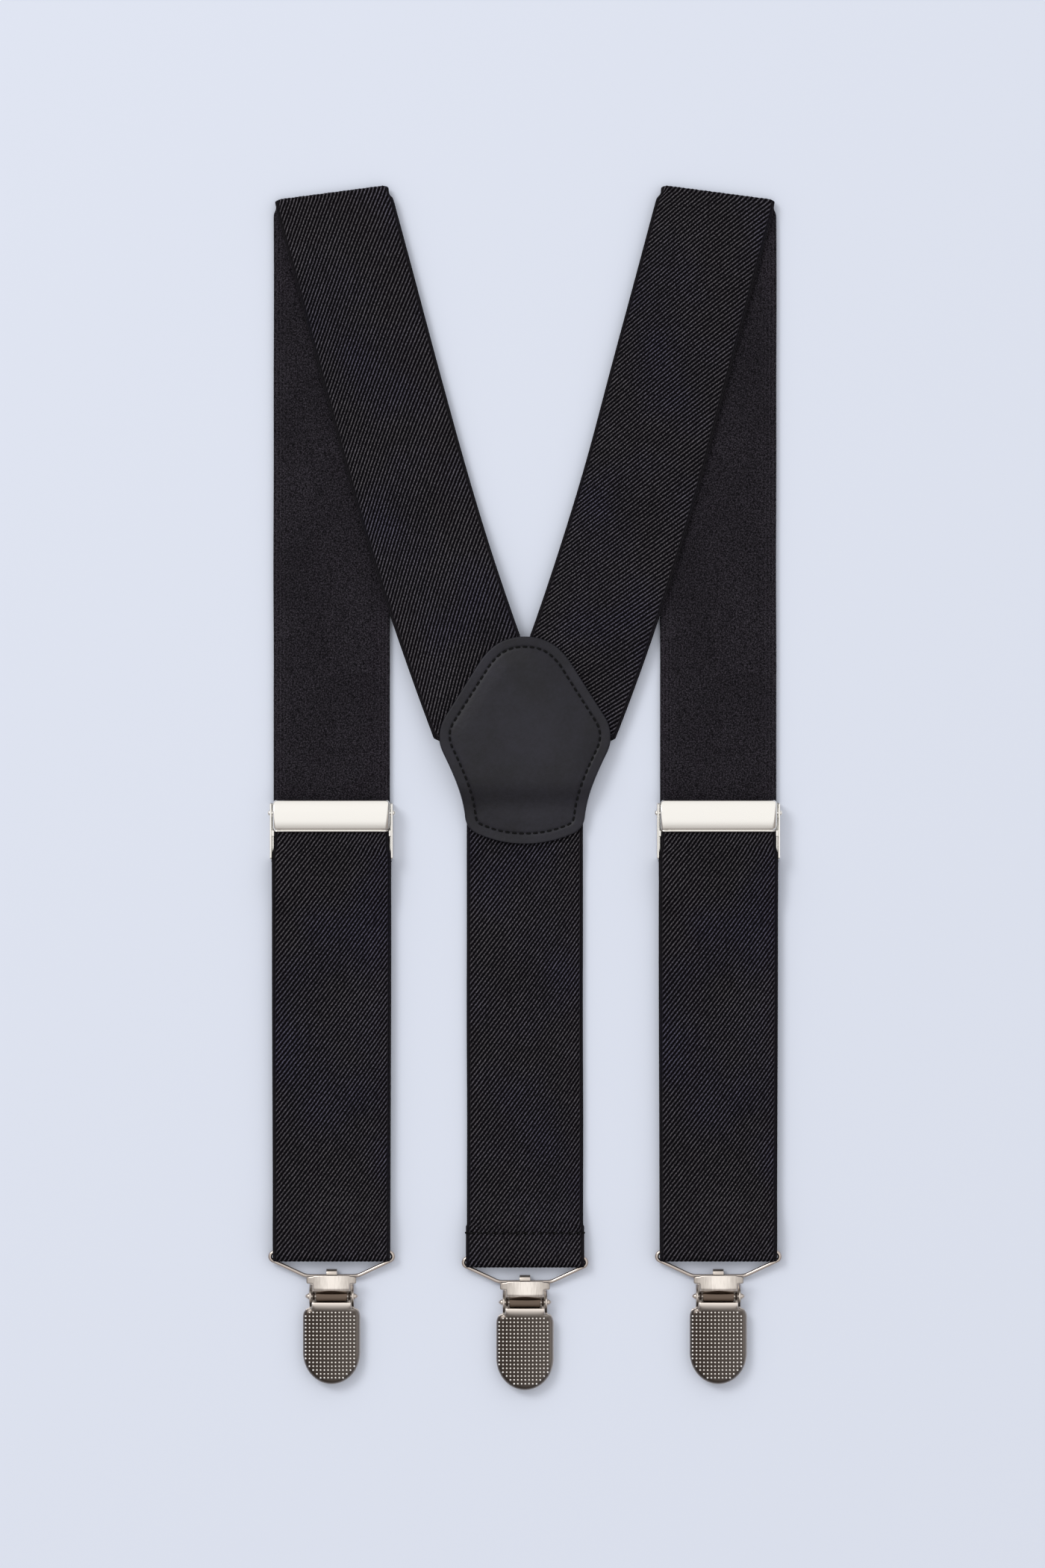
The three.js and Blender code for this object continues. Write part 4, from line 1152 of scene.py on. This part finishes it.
def jaw_half(neck, neck_top, inward):
    """The right half of a jaw's outline: oval end, straight side, round shoulder and neck."""
    side = jaw_x - inward
    level = -6.3 * mm - inward
    angle = np.radians(np.linspace(-90, 0, 25))
    drop = 9.5 * mm - inward
    oval = np.stack([side * np.cos(angle), -16.9 * mm + drop * np.sin(angle)], -1)
    foot = (neck + 0.4 * mm, level + 2.6 * mm)
    shoulder = curve((side, level), (side, level + 2.6 * mm), foot, count=8)
    fillet = curve(foot, (neck, level + 2.7 * mm), (neck, level + 3.4 * mm), count=4)
    oval[0, 0] = 0
    return dense(np.concatenate([oval, shoulder, fillet, [(neck, neck_top), (0, neck_top)]]), 0.6 * mm)


front_jaw_half = jaw_half(5.9 * mm, -1.75 * mm, 0.0)
jaw_spine_low = (0, -17 * mm)


def jaw_level(x, y, inset):
    """The front jaw's upper side: crowned, with rolled sides and a neck that swells and then dips."""
    on_neck = ease((y + 4.6 * mm) / (2.2 * mm))
    roll = (1 - on_neck) * 0.85 * rounded(inset, 1.5 * mm) + on_neck * rounded(inset, 0.3 * mm)
    crown = 0.7 * mm * (1 - (x / jaw_x) ** 2)
    fall = 0.35 * mm * ease((-20 * mm - y) / (7 * mm))
    return 4.1 * mm + crown * (1 - 0.6 * on_neck) + 0.72 * mm * on_neck - fall - roll


def jaw_under(x, y, inset):
    """The front jaw's lower side: one sheet below its upper side, but no further down at the rim."""
    return jaw_level(x, y, np.maximum(inset, 0.35 * mm)) - 0.62 * mm


def jaw_dots():
    """Small raised points in even rows and columns, wherever they fit inside the jaw's rim.

    Each is a six-sided cone with a wide foot, sunk a little into the sheet.
    """
    columns = (np.arange(14) - 6.9) * 1.116 * mm
    rows = -4.8 * mm - np.arange(18) * 1.154 * mm
    x, y = np.meshgrid(columns, rows, indexing="ij")
    flat = np.stack([x.ravel(), y.ravel()], -1)
    inset = inset_of(mirrored(front_jaw_half), flat)
    oval = (flat[:, 0] / jaw_x) ** 2 + (np.minimum(flat[:, 1] + 16.9 * mm, 0) / (9.5 * mm)) ** 2
    below_neck = (flat[:, 1] < -5.2 * mm) | (np.abs(flat[:, 0]) < 6.6 * mm)
    fits = (oval < 1) & (inset > 0.7 * mm) & below_neck
    flat, inset = flat[fits], inset[fits]
    foot = np.column_stack([flat, jaw_level(flat[:, 0], flat[:, 1], inset)])
    circle = np.column_stack([round_section(1.0, 6), np.zeros(6)])
    low = 0.36 * mm * circle - (0, 0, 0.12 * mm)
    middle = 0.24 * mm * circle + (0, 0, 0.1 * mm)
    dot = np.concatenate([low, middle, [(0, 0, 0.2 * mm)]])
    around = [(i, (i + 1) % 6) for i in range(6)]
    dot_faces = [[i, j, 6 + j, 6 + i] for i, j in around] + [[6 + i, 6 + j, 12] for i, j in around]
    dot_faces.append([5, 4, 3, 2, 1, 0])
    points = (foot[:, None] + dot).reshape(-1, 3)
    faces = [[start + i for i in row] for start in range(0, len(points), len(dot)) for row in dot_faces]
    return points, faces


def drum(half_length, radius, y):
    """A plain round bar along x about the pin's line or beside it, with its ends drawn in to the bore."""
    shape = [(-half_length, bore_radius), (0.05 * mm - half_length, radius)]
    shape += [(half_length - 0.05 * mm, radius), (half_length, bore_radius)]
    return turned(shape, (y, pin_z), 32)


def front_jaw():
    """(points, faces, first face of the dots) of the front jaw about the pin, with its two lugs."""
    depths = mm * np.array([0, 0.08, 0.2, 0.4, 0.65, 0.9, 1.2, 1.5, 2.0])
    sheet = slab(front_jaw_half, (jaw_spine_low, (0, -5 * mm)), depths, 8, jaw_level, jaw_under)
    low, high = 5.05 * mm, 5.75 * mm
    ring = [(low, 0.65 * mm), (low + 0.01 * mm, barrel_radius)]
    ring += [(high - 0.05 * mm, barrel_radius), (high, 0.65 * mm)]
    arm = prism(rectangle(-2.6 * mm, -0.9 * mm, 3.2 * mm, 4.5 * mm), low, high, 0.05 * mm, "yzx")
    lug = joined(turned(ring, (0, pin_z)), arm)
    body = joined(sheet, lug, flipped(lug))
    points, faces = joined(body, jaw_dots())
    return points, faces, len(body[1])


def plate_top(x, y, inset):
    """The back plate's upper side."""
    return 0.7 * mm - rounded(inset, 0.2 * mm)


def plate_under(x, y, inset):
    """The back plate's lower side."""
    return rounded(inset, 0.15 * mm)


def back_plate():
    """The back plate about the pin: jaw, ears, flange and the tab round the hoop's bar."""
    half = jaw_half(ear_x, 3.5 * mm, 0.15 * mm)
    depths = mm * np.array([0, 0.05, 0.12, 0.25])
    plate = slab(half, (jaw_spine_low, (0, 2 * mm)), depths, 6, plate_top, plate_under)
    flange_outline = rectangle(-5.75 * mm, 5.75 * mm, 3.3 * mm, 6.15 * mm, 0.3 * mm)
    flange = prism(flange_outline, 0.02 * mm, 0.62 * mm, 0.1 * mm)
    ear = mm * np.concatenate([
        [(-3.5, 0.1), (3.5, 0.1)],
        curve((3.3, 1.2), (2, 3.9), (1.2, 5.0), (0, 5.0), count=6),
        curve((0, 5.0), (-1.2, 5.0), (-2, 3.9), (-3.3, 1.2), count=6)[1:],
    ])
    ear = prism(ear, ear_x - 0.6 * mm, ear_x, 0.08 * mm, "yzx")
    tab_line = np.concatenate([
        dense([(4.9 * mm, 0.33 * mm), (6.55 * mm, 0.33 * mm)], 0.5 * mm),
        bend(6.6 * mm, 1.55 * mm, 1.22 * mm, -90, 90, 14),
        dense([(6.5 * mm, 2.77 * mm), (5.2 * mm, 2.77 * mm)], 0.4 * mm),
    ])
    tab_line = np.column_stack([np.zeros(len(tab_line)), tab_line])
    section = np.array(rectangle(-1.6 * mm, 1.6 * mm, -0.28 * mm, 0.28 * mm, 0.08 * mm))
    tab = sweep(tab_line, section[::-1, ::-1], up=(1, 0, 0))
    root_outline = rectangle(-2.2 * mm, 2.2 * mm, 5.4 * mm, 6.5 * mm, 0.25 * mm)
    root = prism(root_outline, 0.04 * mm, 0.6 * mm, 0.08 * mm)
    return joined(plate, flange, ear, flipped(ear), tab, root)


def lever_level(x, y, inset):
    """The lever's upper side: an arch across it, less a square law where its front edge turns down, but
    never so low that it meets the jaw's lugs."""
    arch = 1.1 * mm * (1 - np.abs(x / (7.5 * mm)) ** 2.4)
    turn_down = 1.9 * mm * np.clip((2.6 * mm - y) / (1.5 * mm), 0, 1) ** 2
    return np.maximum(5.85 * mm + arch - turn_down, 5.2 * mm) - rounded(inset, 0.3 * mm)


def lever_under(x, y, inset):
    """The lever's lower side: one sheet below its upper side, as it is away from the edge."""
    return lever_level(x, y, inset * 0 + 1) - 0.6 * mm


def lever_part():
    """The lever about the pin: a T-shaped sheet, and the web under it with the barrel and its cam."""
    half = mm * np.concatenate([
        curve((0, 1.75), (2.4, 1.75), (3.6, 1.2), (5.3, 1.15), count=10),
        [(5.6, 1.45), (5.6, 3.75), (5.85, 3.95), (7.2, 3.95), (7.5, 4.25), (7.5, 5.6)],
        [(7.15, 6.05), (5.6, 6.2), (5.3, 6.45), (0, 6.45)],
    ])
    depths = mm * np.array([0, 0.06, 0.14, 0.3, 0.5])
    spine = ((0, 4.7 * mm), (0, 5.3 * mm))
    sheet = slab(dense(half, 0.35 * mm), spine, depths, 10, lever_level, lever_under)
    web_outline = mm * np.array([(1.0, 4.2), (1.4, 3.4), (3.2, 5.55), (2.2, 5.5), (1.6, 4.65)])
    web = prism(web_outline, -4.7 * mm, 4.7 * mm, 0.04 * mm, "yzx")
    barrel = drum(4.7 * mm, barrel_radius, 0)
    cam = drum(4.5 * mm, barrel_radius, -0.25 * mm)
    return sheet, joined(web, barrel, cam)


def pin_part():
    """The pin: a plain rod with a pointed head at each end."""
    half = [(7.95, 0.04), (7.8, 0.35), (7.45, 0.62), (6.95, 0.92), (6.82, 0.92), (6.8, 0.6)]
    outline = np.array([(-x, r) for x, r in half] + half[::-1]) * mm
    return turned(outline, (0, pin_z))


def grip_part(low):
    """A grip: a moulded lining, 1.1 mm thick with rounded edges, from low upwards."""
    side = 7.8 * mm
    angle = np.radians(np.linspace(-90, 0, 19))
    oval = np.stack([side * np.cos(angle), -16.9 * mm + 8.7 * mm * np.sin(angle)], -1)
    oval[0, 0] = 0
    corner = curve((side, -8 * mm), (side, -6.5 * mm), (side - 1.5 * mm, -6.5 * mm), count=5)
    half = dense(np.concatenate([oval, corner, [(0, -6.5 * mm)]]), 0.8 * mm)
    depths = mm * np.array([0, 0.05, 0.12, 0.25])

    def top(x, y, inset):
        """Flat, with a rounded edge."""
        return low + 1.1 * mm - rounded(inset, 0.2 * mm)

    def under(x, y, inset):
        """Flat, with a rounded edge."""
        return low + rounded(inset, 0.2 * mm)

    return joined(slab(half, (jaw_spine_low, (0, -8 * mm)), depths, 4, top, under))


def jaw_shine(points):
    """Painted light: bright on the neck, a satin band that is partly a painted highlight, a faint painted
    highlight along the rim, and painted light growing towards the right side, not on the lugs.
    """
    x, y, z = points.T
    neck = ease((y + 4.6 * mm) / (3.2 * mm))
    rim = np.exp(-inset_of(mirrored(front_jaw_half), points[:, :2]) / (0.35 * mm))
    # Painted light on the right side, and a painted lit band along the right edge below the neck.
    right = 0.055 * ease((x + 9 * mm) / (18 * mm))
    right += 0.16 * ease((x - 7.2 * mm) / (0.8 * mm)) * (y < -4 * mm)
    shine = np.clip(neck + 0.3 * rim + right, 0, 1)
    on_lug = (np.abs(z - pin_z) < 1.55 * mm) & (y >= -1.25 * mm)
    return np.where(on_lug, 0, shine)


def lever_shine(points):
    """Painted reflection: brightest in a bell curve about the middle and shaded towards the sides, with a
    painted highlight along the lip.
    """
    middle_share = np.exp(-(((points[:, 0] - 0.3 * mm) / (4.6 * mm)) ** 2))
    lip = np.exp(-(((points[:, 1] - 1.55 * mm) / (0.5 * mm)) ** 2))
    return 0.35 + 0.65 * middle_share + 0.3 * lip


for side, x in clip_x.items():
    place = (x, pin_y[side], 0)
    clip, node = side + "_clip", side + "_clip_"
    fitted(side + "_back_plate", back_plate(), place, clip, node + "back_plate", "satin_nickel", satin)
    points, faces, dots_from = front_jaw()
    jaw = fitted(
        side + "_front_jaw",
        (points, faces),
        place,
        side + "_jaw",
        node + "front_jaw",
        "dark_nickel",
        jaw_nickel,
        tip_nickel,
    )
    set_shine(jaw, jaw_shine(points))
    set_kinds(jaw, np.arange(len(faces)) >= dots_from)
    sheet, barrel = lever_part()
    points, faces = joined(sheet, barrel)
    lever = fitted(
        side + "_lever_sheet",
        (points, faces),
        place,
        side + "_lever",
        node + "lever",
        "satin_nickel",
        lever_nickel,
        dark_nickel,
    )
    set_shine(lever, lever_shine(points))
    # The barrel, cam and web take the painted recess shade.
    set_kinds(lever, np.arange(len(faces)) >= len(sheet[1]))
    fitted(side + "_pin", pin_part(), place, clip, node + "pin", "satin_nickel", satin)
    for name, low, body in (("back", 0.7 * mm, clip), ("front", 2.1 * mm, side + "_jaw")):
        lining = side + "_" + name + "_lining"
        fitted(lining, grip_part(low), place, body, node + name + "_grip", "grip_plastic", plastic)


# ---- The surface that it lies on, the light and the camera ----
# A plain pale floor, one wide soft light from the upper left, a room that is paler above than at its
# sides, and a camera straight above.

floor_size = 3.0
floor_points = np.array([[-1, -1, 0], [1, -1, 0], [1, 1, 0], [-1, 1, 0]]) * floor_size / 2
floor_mesh = bpy.data.meshes.new("floor")
floor_mesh.from_pydata(floor_points.tolist(), [], [[0, 1, 2, 3]])
floor = bpy.data.objects.new("floor", floor_mesh)
bpy.context.scene.collection.objects.link(floor)
paper = new_material(
    "pale_paper", Base_Color=(0.680, 0.728, 0.838, 1), Roughness=0.9, Specular_IOR_Level=0.1
)[0]
floor_mesh.materials.append(paper)


window = bpy.data.lights.new("window", "AREA")
window.shape = "SQUARE"
window.size = 1.2
window.energy = 34.0
window.color = (1.0, 0.99, 0.97)
window_holder = bpy.data.objects.new("window", window)
bpy.context.scene.collection.objects.link(window_holder)
window_holder.location = (-1.6, 1.6, 2.4)
window_holder.rotation_mode = "QUATERNION"
window_holder.rotation_quaternion = Vector((1.6, -1.6, -2.4)).to_track_quat("-Z", "Y")
world = bpy.data.worlds.new("room")
bpy.context.scene.world = world
world.use_nodes = True
room = world.node_tree
direction = add_node(room, "ShaderNodeTexCoord").outputs["Generated"]
x, y, z = add_node(room, "ShaderNodeSeparateXYZ", {0: direction}).outputs
height = maths(room, "MULTIPLY_ADD", x, 0.1, maths(room, "MULTIPLY_ADD", y, 0.3, z))
dim, bright = (0.33, 0.30, 0.285, 1), (1.06, 1.05, 1.04, 1)
room_colour = blend_colours(room, ramp(room, height, 0.1, 0.93), dim, bright)
room.links.new(room_colour, room.nodes["Background"].inputs["Color"])

picture_height = 0.4725
camera_height = 2.0
camera_data = bpy.data.cameras.new("camera")
camera_data.sensor_width = 36.0
camera_data.lens = camera_data.sensor_width * camera_height / picture_height
camera = bpy.data.objects.new("camera", camera_data)
bpy.context.scene.collection.objects.link(camera)
camera.location = (-0.00074, 0.0009, camera_height)
bpy.context.scene.camera = camera
bpy.context.scene.view_settings.view_transform = "Standard"
